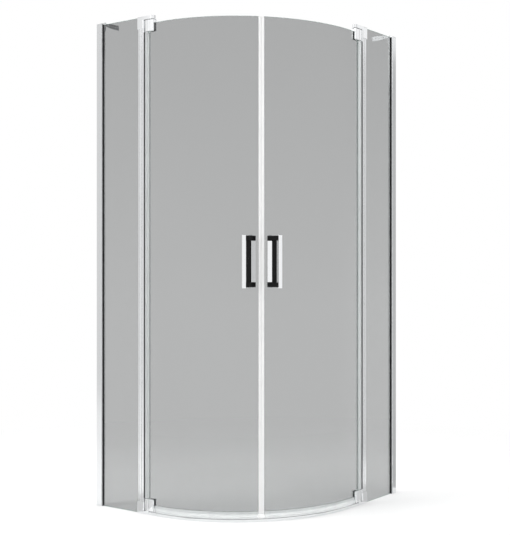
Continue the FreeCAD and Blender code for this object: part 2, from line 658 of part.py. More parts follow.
def handle():
    """Base with two arms, grip, trim bar, inner handle and the bolts through the glass."""
    seat = FRONT - HANDLE_SEAT
    face = seat - BASE_THICK
    base_middle = CURVE_X + BASE_SHIFT
    base_start = base_middle - BASE_WIDTH / 2
    base_end = base_middle + BASE_WIDTH / 2
    bottom = HANDLE_HEIGHT - BASE_TALL / 2
    top = HANDLE_HEIGHT + BASE_TALL / 2
    grip_back = FRONT - GRIP_STAND
    grip_face = grip_back - GRIP_DEPTH

    base = box(base_start, base_end, face, seat, bottom, top)
    for z in (bottom, top - ARM_TALL):
        outline = [
            V(base_end, face, z),
            V(base_end, face - ARM_TOE, z),
            V(base_start + GRIP_DEPTH, grip_face, z),
            V(base_start, grip_face, z),
            V(base_start, grip_back, z),
            V(base_end - ARM_HEEL, face, z),
        ]
        base = base.fuse(slab(outline, V(0, 0, ARM_TALL)))
    base = base.removeSplitter()

    grip_bottom = HANDLE_HEIGHT - GRIP_TALL / 2
    grip_top = HANDLE_HEIGHT + GRIP_TALL / 2
    grip = rounded_box(
        base_start - GRIP_WIDTH, base_start, grip_face, grip_back, grip_bottom, grip_top, GRIP_ROUND
    )
    trim_bottom = bottom + ARM_TALL + SLIP
    trim_start = base_end - TRIM_WIDTH
    outline = [
        V(trim_start, face, trim_bottom),
        V(trim_start, face - TRIM_RISE, trim_bottom),
        V(base_end, face - TRIM_DEPTH, trim_bottom),
        V(base_end, face, trim_bottom),
    ]
    trim = slab(outline, V(0, 0, BASE_TALL - 2 * (ARM_TALL + SLIP)))
    trim = trim.makeFillet(TRIM_ROUND, trim.Edges)

    inner_seat = BACK + HANDLE_SEAT
    inner_back = BACK + INNER_STAND
    inner_face = inner_back + GRIP_DEPTH
    inner = rounded_box(
        base_middle - GRIP_WIDTH / 2,
        base_middle + GRIP_WIDTH / 2,
        inner_back,
        inner_face,
        grip_bottom,
        grip_top,
        GRIP_ROUND,
    )
    bolt_seat = inner_face - COUNTERBORE
    bolts = []
    for z in handle_bolt_heights():
        inner = inner.fuse(drill(base_middle, z, INNER_POST_RADIUS, inner_seat, inner_back + GRIP_ROUND))
    for z in handle_bolt_heights():
        tip = seat - BOLT_BITE
        inner = inner.cut(
            [
                drill(base_middle, z, BOLT_RADIUS + SNUG, inner_seat, inner_face),
                drill(base_middle, z, BOLT_HEAD_RADIUS + SLIP, bolt_seat, inner_face),
            ]
        )
        base = base.cut(drill(base_middle, z, BOLT_RADIUS + TOUCH_GAP, tip, seat))
        bolts.append(
            screw(base_middle, z, bolt_seat, tip, BOLT_HEAD_RADIUS, SCREW_HEAD_HEIGHT, BOLT_RADIUS)
        )
    pieces = {
        "handle_base": base,
        "handle_grip": grip,
        "handle_trim": trim,
        "inner_handle": inner,
        "handle_bolts": Part.makeCompound(bolts),
    }
    return {name: on_handle(shape) for name, shape in pieces.items()}


def threshold_half():
    """Left half of the rounded strip under the doors, up to the closing line."""
    half = THRESHOLD_WIDTH / 2
    shoulder = THRESHOLD_HEIGHT - THRESHOLD_ROUND
    flat_half = half - THRESHOLD_ROUND
    bow = THRESHOLD_ROUND * math.sqrt(0.5)
    left_arc = Part.Arc(
        V(0, -half, shoulder),
        V(0, -flat_half - bow, shoulder + bow),
        V(0, -flat_half, THRESHOLD_HEIGHT),
    )
    right_arc = Part.Arc(
        V(0, flat_half, THRESHOLD_HEIGHT),
        V(0, flat_half + bow, shoulder + bow),
        V(0, half, shoulder),
    )
    edges = [
        Part.LineSegment(V(0, -half, 0), V(0, -half, shoulder)),
        left_arc,
        Part.LineSegment(V(0, -flat_half, THRESHOLD_HEIGHT), V(0, flat_half, THRESHOLD_HEIGHT)),
        right_arc,
        Part.LineSegment(V(0, half, shoulder), V(0, half, 0)),
        Part.LineSegment(V(0, half, 0), V(0, -half, 0)),
    ]
    section = Part.Face(Part.Wire([edge.toShape() for edge in edges]))
    return along_front(section, PIVOT + KNUCKLE_RADIUS + THRESHOLD_GAP, 0)


def in_corner(shape):
    """Move a piece of the left half to its place in the finished enclosure."""
    return shape.translated(V(-CORNER, CORNER - SIDE + GLASS / 2, 0))


def other_side(shape):
    """Mirror a placed piece about the diagonal of the corner."""
    return shape.mirror(V(0, 0, 0), V(1, 1, 0))


def main():
    """Build every piece of both halves and write one file for each."""
    os.makedirs("parts", exist_ok=True)
    pieces = {"door_glass": door_pane()}
    for group in (wall_fixing, fixed_side, door_seals, door_hinges, handle):
        pieces.update(group())
    for name, shape in pieces.items():
        left = in_corner(shape)
        left.exportStep(f"parts/left_{name}.step")
        other_side(left).exportStep(f"parts/right_{name}.step")
    half_strip = in_corner(threshold_half())
    strip = half_strip.fuse(other_side(half_strip)).removeSplitter()
    strip.exportStep("parts/threshold_strip.step")


main()
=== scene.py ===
"""Corner shower enclosure: looks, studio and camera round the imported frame.

Each sub-assembly is a class that holds its sizes, in metres. The left half is
drawn first: x runs from the left wall, y = 0 is the middle of the fixed
panel's glass with +y into the shower, and z is the height above the floor.
The right half is the mirror image about the diagonal of the corner.
"""

import logging
import math
from collections.abc import Callable, Sequence
from dataclasses import dataclass
from enum import Enum
from functools import partial
from typing import Any, ClassVar

import bpy
from mathutils import Matrix, Vector
from mathutils.geometry import delaunay_2d_cdt


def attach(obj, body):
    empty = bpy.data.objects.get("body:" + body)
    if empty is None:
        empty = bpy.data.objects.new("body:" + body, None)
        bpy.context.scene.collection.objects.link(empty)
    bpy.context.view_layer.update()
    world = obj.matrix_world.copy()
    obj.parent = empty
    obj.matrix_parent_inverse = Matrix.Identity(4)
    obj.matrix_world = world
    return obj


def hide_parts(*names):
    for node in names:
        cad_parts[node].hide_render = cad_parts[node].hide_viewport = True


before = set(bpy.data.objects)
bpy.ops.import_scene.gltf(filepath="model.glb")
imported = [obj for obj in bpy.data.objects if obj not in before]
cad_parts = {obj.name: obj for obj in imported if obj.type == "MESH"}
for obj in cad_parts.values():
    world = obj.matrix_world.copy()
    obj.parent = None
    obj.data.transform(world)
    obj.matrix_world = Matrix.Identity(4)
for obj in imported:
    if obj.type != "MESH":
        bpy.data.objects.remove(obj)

Flat = tuple[float, float]
Place = tuple[float, float, float]
Colour = tuple[float, float, float, float]

LOG = logging.getLogger("shower_enclosure")
SHARP_ANGLE = math.radians(32.0)
HOLE_SIDES = 32
IOR = 1.5
WHITE: Colour = (1.0, 1.0, 1.0, 1.0)
INWARD: Place = (0.0, 1.0, 0.0)


class Sock:
    """Output socket of a node, with operators that add Math nodes."""

    def __init__(self, graph: "Graph", socket: bpy.types.NodeSocket | None) -> None:
        """Keep the socket and the graph that it belongs to."""
        self.graph = graph
        self.socket = socket

    def maths(self, operation: str, first: Any, second: Any) -> "Sock":
        """Add a Math node for an operation on two numbers or sockets."""
        inputs = {"Value": first, "Value_001": second}
        return self.graph.add("ShaderNodeMath", {"operation": operation}, inputs)

    def __add__(self, other: Any) -> "Sock":
        """Sum of two values."""
        return self.maths("ADD", self, other)

    def __radd__(self, other: Any) -> "Sock":
        """Sum, with the number first."""
        return self.maths("ADD", other, self)

    def __sub__(self, other: Any) -> "Sock":
        """Difference of two values."""
        return self.maths("SUBTRACT", self, other)

    def __rsub__(self, other: Any) -> "Sock":
        """Difference, with the number first."""
        return self.maths("SUBTRACT", other, self)

    def __mul__(self, other: Any) -> "Sock":
        """Product of two values."""
        return self.maths("MULTIPLY", self, other)

    def __rmul__(self, other: Any) -> "Sock":
        """Product, with the number first."""
        return self.maths("MULTIPLY", other, self)

    def __pow__(self, other: Any) -> "Sock":
        """Power of a value."""
        return self.maths("POWER", self, other)

    def at_most(self, other: Any) -> "Sock":
        """Smaller of two values."""
        return self.maths("MINIMUM", self, other)

    def at_least(self, other: Any) -> "Sock":
        """Larger of two values."""
        return self.maths("MAXIMUM", self, other)

    def span(self, low: float, high: float) -> "Sock":
        """Share of the way from low to high, held between 0 and 1."""
        return ((self - low) * (1.0 / (high - low))).at_least(0.0).at_most(1.0)


@dataclass(frozen=True)
class Pattern:
    """Noise on the object's own coordinates: stretch along each axis, scale and detail."""

    stretch: Place = (1.0, 1.0, 1.0)
    scale: float = 1.0
    detail: float = 3.0


class Graph:
    """A node tree that is written as calls and expressions."""

    def __init__(self, tree: bpy.types.NodeTree) -> None:
        """Keep the tree that the nodes go into."""
        self.tree = tree

    @classmethod
    def fresh(cls, owner: bpy.types.Material | bpy.types.World) -> "Graph":
        """Empty the tree of a new material or world.

        Args:
            owner: What the tree belongs to.

        Returns:
            The empty tree.
        """
        owner.use_nodes = True
        owner.node_tree.nodes.clear()
        return cls(owner.node_tree)

    def add(
        self,
        kind: str,
        settings: dict[str, Any] | None = None,
        inputs: dict[str, Any] | None = None,
        out: str = "",
    ) -> Sock:
        """Add a node.

        Args:
            kind: Blender's name of the node's type.
            settings: Properties of the node, which are set first.
            inputs: Values, sockets, or lists of sockets, by the input's identifier.
            out: Identifier of the output wanted, or the first one.

        Returns:
            The output's socket.
        """
        node = self.tree.nodes.new(kind)
        for name, value in (settings or {}).items():
            setattr(node, name, value)
        for name, value in (inputs or {}).items():
            target = next(s for s in node.inputs if name in (s.identifier, s.name))
            for item in value if isinstance(value, list) else [value]:
                if isinstance(item, Sock):
                    self.tree.links.new(item.socket, target)
                else:
                    target.default_value = item
        if not node.outputs:
            return Sock(self, None)
        wanted = (s for s in node.outputs if not out or out in (s.identifier, s.name))
        return Sock(self, next(wanted))

    def place(self) -> Sock:
        """Add the object's own coordinates, in metres."""
        return self.add("ShaderNodeTexCoord", out="Object")

    def rays(self, kind: str) -> Sock:
        """Add the test for one kind of ray, by the Light Path's output."""
        return self.add("ShaderNodeLightPath", out=kind)

    def noise(self, pattern: Pattern) -> Sock:
        """Add the noise of a pattern.

        Args:
            pattern: Stretch, scale and detail of the noise.

        Returns:
            The noise as a value from 0 to 1.
        """
        stretched = {"Vector": self.place(), "Scale": pattern.stretch}
        turned = self.add("ShaderNodeMapping", {"vector_type": "POINT"}, stretched)
        inputs = {"Vector": turned, "Scale": pattern.scale, "Detail": pattern.detail}
        return self.add("ShaderNodeTexNoise", {}, inputs, "Fac")

    def blend(self, factor: Sock, first: Colour, second: Colour) -> Sock:
        """Add a mix of two colours, with the second one's share."""
        inputs = {"Factor_Float": factor, "A_Color": first, "B_Color": second}
        return self.add("ShaderNodeMix", {"data_type": "RGBA"}, inputs, "Result_Color")

    def bump(self, height: Sock, depth: float) -> Sock:
        """Add the normal of a relief from 0 to 1, with its depth in metres."""
        return self.add("ShaderNodeBump", {}, {"Strength": 1.0, "Distance": depth, "Height": height})

    def mix(self, share: Any, first: Sock, second: Sock) -> Sock:
        """Add a mix of two shaders, with the second one's share."""
        return self.add("ShaderNodeMixShader", {}, {"Fac": share, "Shader": first, "Shader_001": second})

    def principled(self, inputs: dict[str, Any]) -> Sock:
        """Add the general shader."""
        return self.add("ShaderNodeBsdfPrincipled", {}, inputs)

    def clear(self, colour: Colour) -> Sock:
        """Add a shader that light goes straight through, with a colour."""
        return self.add("ShaderNodeBsdfTransparent", {}, {"Color": colour})

    def matt(self, colour: Colour) -> Sock:
        """Add a plain matt shader."""
        return self.add("ShaderNodeBsdfDiffuse", {}, {"Color": colour})

    def glow(self, colour: Colour) -> Sock:
        """Add a shader that shows one colour in any light."""
        return self.add("ShaderNodeEmission", {}, {"Color": colour, "Strength": 1.0})


def new_material(name: str, surface: Callable[[Graph], Sock]) -> bpy.types.Material:
    """Make a material.

    Args:
        name: Its name.
        surface: Function that builds its shader in a tree.

    Returns:
        The Blender material.
    """
    made = bpy.data.materials.new(name)
    graph = Graph.fresh(made)
    graph.add("ShaderNodeOutputMaterial", {}, {"Surface": surface(graph)})
    return made


@dataclass(frozen=True)
class Finish:
    """A named material for one of the record's slots."""

    name: str
    slot: str

    def surface(self, graph: Graph) -> Sock:
        """Shader of the finish, which each kind of finish gives."""
        raise NotImplementedError

    def material(self) -> bpy.types.Material:
        """Material of the finish, which its first use makes."""
        return bpy.data.materials.get(self.name) or new_material(self.name, self.surface)


@dataclass(frozen=True)
class Metal(Finish):
    """Bright metal with fine lines from drawing or polishing, and a faint film on it."""

    bright: Colour
    dull: Colour
    roughness: float
    smear: float
    lines: Pattern
    line_depth: float
    line_spread: float = 0.04
    film: Pattern = Pattern((1.0, 1.0, 0.35), 11.0)

    def surface(self, graph: Graph) -> Sock:
        """Build the shader.

        Args:
            graph: Tree that the nodes go into.

        Returns:
            The shader's socket.
        """
        lines = graph.noise(self.lines)
        film = graph.noise(self.film)
        return graph.principled(
            {
                "Base Color": graph.blend(film, self.bright, self.dull),
                "Metallic": 1.0,
                "Roughness": self.roughness + (film - 0.5) * self.smear + (lines - 0.5) * self.line_spread,
                "Normal": graph.bump(lines, self.line_depth),
            }
        )


@dataclass(frozen=True)
class Glass(Finish):
    """Clear sheet glass: each face passes the painted shade tint and mirrors more at a slant.

    The direct view has the full tint, a painted shade that darkens the glass for the camera alone; light on
    its way to other pieces has only the bare glass colour.
    """

    painted_shade_tint: Colour
    bare: Colour
    haze: float
    dust: Colour = (0.8, 0.8, 0.8, 1.0)
    film: Pattern = Pattern((1.0, 1.0, 0.5), 3.0, 4.0)
    head_on: float = 0.04
    slant_power: float = 5.0

    def surface(self, graph: Graph) -> Sock:
        """Build the shader.

        Args:
            graph: Tree that the nodes go into.

        Returns:
            The shader's socket.
        """
        # painted shade: camera rays get the darker tint, every other ray the bare glass colour
        clear = graph.mix(graph.rays("Is Camera Ray"), graph.clear(self.bare), graph.clear(self.painted_shade_tint))
        body = graph.mix(graph.noise(self.film) * self.haze, clear, graph.matt(self.dust))
        mirror = graph.add("ShaderNodeBsdfAnisotropic", {}, {"Color": WHITE, "Roughness": 0.0})
        slant = graph.add("ShaderNodeLayerWeight", {}, {"Blend": 0.5}, "Facing")
        return graph.mix(self.head_on + slant**self.slant_power * (1.0 - self.head_on), body, mirror)


@dataclass(frozen=True)
class GlassEdge(Finish):
    """Ground and polished edge of a pane, where the glass shows its green."""

    pale: Colour
    deep: Colour
    solid: float
    roughness: float = 0.12
    roughness_spread: float = 0.1
    streaks: Pattern = Pattern((60.0, 60.0, 60.0))

    def surface(self, graph: Graph) -> Sock:
        """Build the shader.

        Args:
            graph: Tree that the nodes go into.

        Returns:
            The shader's socket.
        """
        streaks = graph.noise(self.streaks)
        ground = graph.principled(
            {
                "Base Color": graph.blend(streaks, self.pale, self.deep),
                "Roughness": self.roughness + streaks * self.roughness_spread,
                "IOR": IOR,
            }
        )
        return graph.mix(self.solid, graph.clear(self.pale), ground)


@dataclass(frozen=True)
class Vinyl(Finish):
    """Soft extruded vinyl, clear or milky, with drawing lines along its length."""

    pale: Colour
    grey: Colour
    solid: float
    roughness: float
    roughness_spread: float = 0.1
    solid_spread: float = 0.2
    cloud: Pattern = Pattern((1.0, 1.0, 0.25), 24.0)
    lines: Pattern = Pattern((900.0, 900.0, 6.0), 1.0, 2.0)
    line_depth: float = 0.00004

    def surface(self, graph: Graph) -> Sock:
        """Build the shader.

        Args:
            graph: Tree that the nodes go into.

        Returns:
            The shader's socket.
        """
        cloud = graph.noise(self.cloud)
        skin = graph.principled(
            {
                "Base Color": graph.blend(cloud, self.pale, self.grey),
                "Roughness": self.roughness + (cloud - 0.5) * self.roughness_spread,
                "IOR": IOR,
                "Normal": graph.bump(graph.noise(self.lines), self.line_depth),
            }
        )
        if self.solid >= 1.0:
            return skin
        return graph.mix(self.solid + (cloud - 0.5) * self.solid_spread, graph.clear(self.pale), skin)


@dataclass(frozen=True)
class Skin(Finish):
    """Rubber, plastic or lacquer with a fine skin texture."""

    deep: Colour
    worn: Colour
    roughness: float
    gloss: float
    grain: float
    grain_depth: float
    coat: float = 0.0
    coat_roughness: float = 0.08
    roughness_spread: float = 0.12
    cloud: Pattern = Pattern(scale=20.0, detail=2.0)

    def surface(self, graph: Graph) -> Sock:
        """Build the shader.

        Args:
            graph: Tree that the nodes go into.

        Returns:
            The shader's socket.
        """
        cloud = graph.noise(self.cloud)
        return graph.principled(
            {
                "Base Color": graph.blend(cloud, self.deep, self.worn),
                "Roughness": self.roughness + (cloud - 0.5) * self.roughness_spread,
                "Specular IOR Level": self.gloss,
                "Coat Weight": self.coat,
                "Coat Roughness": self.coat_roughness,
                "Normal": graph.bump(graph.noise(Pattern(scale=self.grain)), self.grain_depth),
            }
        )


ALUMINIUM = Metal(
    "bright_drawn_aluminium",
    "bright_aluminium",
    bright=(0.86, 0.87, 0.88, 1.0),
    dull=(0.78, 0.79, 0.8, 1.0),
    roughness=0.17,
    smear=0.08,
    lines=Pattern((1400.0, 1400.0, 3.0)),
    line_depth=0.00001,
)
CHROME = Metal(
    "mirror_chrome",
    "polished_chrome",
    bright=(0.9, 0.91, 0.92, 1.0),
    dull=(0.84, 0.85, 0.86, 1.0),
    roughness=0.07,
    smear=0.05,
    lines=Pattern((700.0, 700.0, 700.0)),
    line_depth=0.000002,
)
STEEL = Metal(
    "turned_screw_steel",
    "screw_steel",
    bright=(0.66, 0.66, 0.65, 1.0),
    dull=(0.5, 0.5, 0.5, 1.0),
    roughness=0.28,
    smear=0.1,
    lines=Pattern((900.0, 900.0, 900.0)),
    line_depth=0.000008,
)
GLASS = Glass(
    "clear_sheet_glass",
    "clear_glass",
    # painted shade: this tint darkens only the camera's view through the glass
    painted_shade_tint=(0.65, 0.655, 0.655, 1.0),
    bare=(0.94, 0.95, 0.95, 1.0),
    haze=0.02,
)
GLASS_EDGE = GlassEdge(
    "polished_glass_edge",
    "clear_glass",
    pale=(0.72, 0.78, 0.76, 1.0),
    deep=(0.45, 0.56, 0.53, 1.0),
    solid=0.7,
)
CLEAR_VINYL = Vinyl(
    "clear_soft_vinyl",
    "clear_vinyl",
    pale=(0.95, 0.96, 0.96, 1.0),
    grey=(0.88, 0.9, 0.9, 1.0),
    solid=0.36,
    roughness=0.22,
)
WHITE_VINYL = Vinyl(
    "milky_soft_vinyl",
    "white_vinyl",
    pale=(0.88, 0.88, 0.88, 1.0),
    grey=(0.8, 0.8, 0.8, 1.0),
    solid=1.0,
    roughness=0.3,
)
BLACK_RUBBER = Skin(
    "black_seal_rubber",
    "black_rubber",
    deep=(0.012, 0.012, 0.013, 1.0),
    worn=(0.03, 0.03, 0.031, 1.0),
    roughness=0.55,
    gloss=0.3,
    grain=1800.0,
    grain_depth=0.00003,
)
MAGNET = Skin(
    "magnet_rubber_strip",
    "magnet_rubber",
    deep=(0.05, 0.045, 0.042, 1.0),
    worn=(0.08, 0.074, 0.07, 1.0),
    roughness=0.6,
    gloss=0.4,
    grain=1200.0,
    grain_depth=0.00004,
)
LACQUER = Skin(
    "gloss_black_lacquer",
    "black_lacquer",
    deep=(0.003, 0.003, 0.0032, 1.0),
    worn=(0.007, 0.007, 0.0075, 1.0),
    roughness=0.26,
    gloss=0.1,
    grain=420.0,
    grain_depth=0.00002,
    coat=0.12,
)
NYLON = Skin(
    "bush_nylon",
    "bush_plastic",
    deep=(0.62, 0.61, 0.58, 1.0),
    worn=(0.7, 0.69, 0.66, 1.0),
    roughness=0.42,
    gloss=0.5,
    grain=900.0,
    grain_depth=0.00003,
)


@dataclass(frozen=True)
class Plan:
    """Sizes of the floor plan and heights that every sub-assembly shares."""

    corner: float = 0.45425
    glass_line: float = 0.44275
    height: float = 2.0
    glass: float = 0.006
    bend_start: float = 0.35
    mid_radius: float = 0.547
    closing_angle: float = math.radians(45.0)
    pivot: float = 0.283
    handle_offset: float = 0.042
    seal_start: float = 0.0645

    @property
    def closing_run(self) -> float:
        """Run along the front at which the doors meet."""
        return self.bend_start + self.mid_radius * self.closing_angle

    def bend_runs(self, end: float, steps: int) -> list[float]:
        """Runs from the start of the bend to an end, in equal steps."""
        return [self.bend_start + (end - self.bend_start) * i / steps for i in range(steps + 1)]

    def wrap(self, run: float, depth: float, z: float) -> Place:
        """Carry a point of the unrolled front to its place on the curve.

        Args:
            run: Distance along the middle of the glass, from the wall.
            depth: Distance into the shower from the middle of the glass.
            z: Height above the floor.

        Returns:
            The point in the left half's drawing.
        """
        if run <= self.bend_start:
            return (run, depth, z)
        turn = (run - self.bend_start) / self.mid_radius
        radius = self.mid_radius - depth
        return (self.bend_start + radius * math.sin(turn), self.mid_radius - radius * math.cos(turn), z)

    def at_handle(self, across: float, depth: float) -> Flat:
        """Turn a point of the handle's own drawing to its place on the curve.

        Args:
            across: Distance towards the closing edge from the handle's middle.
            depth: Distance into the shower from the middle of the glass.

        Returns:
            The point in the left half's drawing.
        """
        turn = self.closing_angle - self.handle_offset / self.mid_radius
        radius = self.mid_radius - depth
        x = self.bend_start + radius * math.sin(turn) + across * math.cos(turn)
        y = self.mid_radius - radius * math.cos(turn) + across * math.sin(turn)
        return (x, y)

    def both_ends(self, heights: Sequence[float]) -> list[float]:
        """Heights at the bottom hinge and their twins at the top hinge."""
        return list(heights) + [self.height - z for z in heights]


PLAN = Plan()
NodeFinishes = dict[Finish, tuple[str, ...]]


class Side(Enum):
    """The two halves of the enclosure."""

    LEFT = "left"
    RIGHT = "right"

    @property
    def door(self) -> str:
        """Name of the body that swings on this side."""
        return f"{self.value}_door"

    @property
    def matrix(self) -> Matrix:
        """Carry the left half's drawing to this side of the finished object.

        Returns:
            The matrix, which mirrors for the right side.
        """
        moved = Matrix.Translation((-PLAN.corner, -PLAN.glass_line, 0.0))
        if self is Side.LEFT:
            return moved
        mirror = Matrix(((0, -1, 0, 0), (-1, 0, 0, 0), (0, 0, 1, 0), (0, 0, 0, 1)))
        return mirror @ moved

    def node(self, word: str) -> str:
        """Name of a node or piece on this side."""
        return f"{self.value}_{word}"


def placed(name: str, data: bpy.types.ID) -> bpy.types.Object:
    """Put an object in the scene.

    Args:
        name: Name of the object.
        data: Its mesh, curve, lamp or camera.

    Returns:
        The new object.
    """
    made = bpy.data.objects.new(name, data)
    bpy.context.scene.collection.objects.link(made)
    return made


def new_mesh(
    name: str,
    places: Sequence[Place],
    faces: Sequence[Sequence[int]],
    materials: Sequence[bpy.types.Material],
) -> bpy.types.Mesh:
    """Make a mesh.

    Args:
        name: Name of the mesh.
        places: Its points.
        faces: Numbers of each face's points.
        materials: Its materials.

    Returns:
        The new mesh.
    """
    mesh = bpy.data.meshes.new(name)
    mesh.from_pydata(places, [], faces)
    for material in materials:
        mesh.materials.append(material)
    return mesh


def dress_node(node: str, finish: Finish) -> None:
    """Give a CAD node its material.

    Args:
        node: Name of the node.
        finish: Finish that it gets.
    """
    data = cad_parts[node].data
    data.materials.clear()
    data.materials.append(finish.material())
    LOG.info("%s: %s", node, finish.name)


def add_piece(
    name: str, mesh: bpy.types.Mesh, side: Side, body: str, slot: str, stands_for: Sequence[str]
) -> None:
    """Put a finished mesh in its place as a piece of the object.

    Args:
        name: Name of the piece.
        mesh: Mesh in the left half's drawing.
        side: Half of the enclosure that it belongs to.
        body: CAD body that it rides on.
        slot: The record's material slot; not used.
        stands_for: CAD nodes that it replaces.
    """
    mesh.transform(side.matrix)
    if side is Side.RIGHT:
        mesh.flip_normals()
    mesh.shade_smooth()
    mesh.set_sharp_from_angle(angle=SHARP_ANGLE)
    mesh.name = name
    piece = placed(name, mesh)
    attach(piece, body)
    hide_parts(*stands_for)
    LOG.info("%s: %d faces on %s", name, len(mesh.polygons), body)


def softened(corners: Sequence[Flat], radius: float, steps: int = 4) -> list[Flat]:
    """Round the corners of a closed outline.

    Args:
        corners: Corners in order.
        radius: Radius of the rounding, which short edges make smaller.
        steps: Number of edges in each rounding.

    Returns:
        The rounded outline.
    """
    edge_share = 0.45
    rounded: list[Flat] = []
    for i, corner in enumerate(corners):
        here = Vector(corner)
        before = Vector(corners[i - 1]) - here
        after = Vector(corners[(i + 1) % len(corners)]) - here
        half = before.angle(after) / 2
        reach = min(radius / math.tan(half), edge_share * before.length, edge_share * after.length)
        start = here + before.normalized() * reach
        end = here + after.normalized() * reach
        for step in range(steps + 1):
            t = step / steps
            point = start * (1 - t) ** 2 + here * 2 * t * (1 - t) + end * t**2
            rounded.append((point.x, point.y))
    return rounded


def arc(centre: Flat, radius: float, first: float, last: float, steps: int) -> list[Flat]:
    """Points from one angle of a circle to another, with both ends."""
    turns = [first + (last - first) * i / steps for i in range(steps + 1)]
    return [(centre[0] + radius * math.cos(t), centre[1] + radius * math.sin(t)) for t in turns]


def ring(centre: Flat, radius: float, count: int) -> list[Flat]:
    """Points of a whole circle, against the clock."""
    return arc(centre, radius, 0.0, 2 * math.pi, count)[:-1]


def rectangle(left: float, right: float, low: float, high: float) -> list[Flat]:
    """Corners of a rectangle, against the clock."""
    return [(left, low), (right, low), (right, high), (left, high)]


def path_object(name: str, outlines: Sequence[Sequence[Place]], closed: bool) -> bpy.types.Object:
    """Make a curve object for a node tree to work on.

    Args:
        name: Name of the object.
        outlines: Points of each line.
        closed: Whether each line is closed.

    Returns:
        The curve object.
    """
    data = bpy.data.curves.new(name, "CURVE")
    data.dimensions = "3D"
    data.twist_mode = "Z_UP"
    for outline in outlines:
        spline = data.splines.new("POLY")
        spline.points.add(len(outline) - 1)
        for point, place in zip(spline.points, outline):
            point.co = (*place, 1.0)
        spline.use_cyclic_u = closed
    return placed(name, data)


class Maker:
    """A Geometry Nodes tree with named inputs, which turns an object into a plain mesh."""

    def __init__(self, name: str, inputs: dict[str, str]) -> None:
        """Make the empty tree.

        Args:
            name: Name of the tree.
            inputs: Kind of each input's socket besides the material's, by the input's name.
        """
        self.tree = bpy.data.node_groups.new(name, "GeometryNodeTree")
        self.graph = Graph(self.tree)
        face = self.tree.interface
        face.new_socket("Geometry", in_out="INPUT", socket_type="NodeSocketGeometry")
        self.keys: dict[str, str] = {}
        for word, kind in {**inputs, "Material": "Material"}.items():
            socket = face.new_socket(word, in_out="INPUT", socket_type=f"NodeSocket{kind}")
            self.keys[word] = socket.identifier
        face.new_socket("Geometry", in_out="OUTPUT", socket_type="NodeSocketGeometry")
        self.source = self.tree.nodes.new("NodeGroupInput")

    def given(self, word: str) -> Sock:
        """Socket of one of the tree's inputs."""
        return Sock(self.graph, next(s for s in self.source.outputs if s.name == word))

    def lifted(self, shape: Sock, rise: Sock) -> Sock:
        """Move a shape up by a rise."""
        offset = self.graph.add("ShaderNodeCombineXYZ", {}, {"Z": rise})
        return self.graph.add("GeometryNodeTransform", {}, {"Geometry": shape, "Translation": offset})

    def close(self, shape: Sock) -> None:
        """End the tree: realize what is instanced and give it its material.

        Args:
            shape: Geometry that the tree has made.
        """
        real = self.graph.add("GeometryNodeRealizeInstances", {}, {"Geometry": shape})
        inputs = {"Geometry": real, "Material": self.given("Material")}
        dressed = self.graph.add("GeometryNodeSetMaterial", {}, inputs)
        self.graph.add("NodeGroupOutput", {}, {"Geometry": dressed})

    def make(self, source: bpy.types.Object, finish: Finish, values: dict[str, Any]) -> bpy.types.Mesh:
        """Run the tree on an object and delete that object.

        Args:
            source: Object with the curve or points that the tree works on.
            finish: Finish of the mesh.
            values: Values of the tree's other inputs, by name.

        Returns:
            The plain mesh that comes out.
        """
        modifier = source.modifiers.new("maker", "NODES")
        modifier.node_group = self.tree
        for word, value in {**values, "Material": finish.material()}.items():
            modifier[self.keys[word]] = value
        depsgraph = bpy.context.evaluated_depsgraph_get()
        mesh = bpy.data.meshes.new_from_object(source.evaluated_get(depsgraph))
        bpy.data.objects.remove(source)
        return mesh


class StripMaker(Maker):
    """Pushes a closed section up from its foot by a given height."""

    WELD = 0.000002

    def __init__(self) -> None:
        """Build the tree."""
        super().__init__("upright_strip", {"Foot": "Float", "Height": "Float"})
        graph = self.graph
        foot = graph.add("GeometryNodeFillCurve", {"mode": "NGONS"}, {"Curve": self.given("Geometry")})
        rise = graph.add("ShaderNodeCombineXYZ", {}, {"Z": self.given("Height")})
        walls = graph.add(
            "GeometryNodeExtrudeMesh",
            {"mode": "FACES"},
            {"Mesh": foot, "Offset": rise, "Offset Scale": 1.0, "Individual": False},
        )
        under = graph.add("GeometryNodeFlipFaces", {}, {"Mesh": foot})
        both = graph.add("GeometryNodeJoinGeometry", {}, {"Geometry": [walls, under]})
        whole = graph.add("GeometryNodeMergeByDistance", {}, {"Geometry": both, "Distance": self.WELD})
        self.close(self.lifted(whole, self.given("Foot")))

    def upright(
        self, outlines: Sequence[Sequence[Flat]], low: float, high: float, finish: Finish
    ) -> bpy.types.Mesh:
        """Make an upright strip of one section.

        Args:
            outlines: Outer lines and holes of the section, in the left half's drawing.
            low: Height of its lower end.
            high: Height of its upper end.
            finish: Finish of the strip.

        Returns:
            The strip's mesh.
        """
        lines = [[(x, y, 0.0) for x, y in outline] for outline in outlines]
        source = path_object("section", lines, True)
        return self.make(source, finish, {"Foot": low, "Height": high - low})


class SweepMaker(Maker):
    """Carries a closed section along a level path."""

    def __init__(self) -> None:
        """Build the tree."""
        super().__init__("swept_strip", {"Section": "Object"})
        section = self.graph.add("GeometryNodeObjectInfo", {}, {"Object": self.given("Section")}, "Geometry")
        inputs = {"Curve": self.given("Geometry"), "Profile Curve": section, "Fill Caps": True}
        self.close(self.graph.add("GeometryNodeCurveToMesh", {}, inputs))

    def along(self, path: Sequence[Place], section: Sequence[Flat], finish: Finish) -> bpy.types.Mesh:
        """Sweep a section.

        Args:
            path: Points of the path, all at one height.
            section: Outline as depth to the left of the path and height over it.
            finish: Finish of the strip.

        Returns:
            The strip's mesh.
        """
        outline = path_object("section", [[(-depth, -rise, 0.0) for depth, rise in section]], True)
        mesh = self.make(path_object("path", [path], False), finish, {"Section": outline})
        bpy.data.objects.remove(outline)
        return mesh


@dataclass(frozen=True)
class ScrewSize:
    """Sizes of one kind of socket screw."""

    head_radius: float
    head_height: float
    shank_radius: float
    bevel: float = 0.0005
    socket_share: float = 0.55


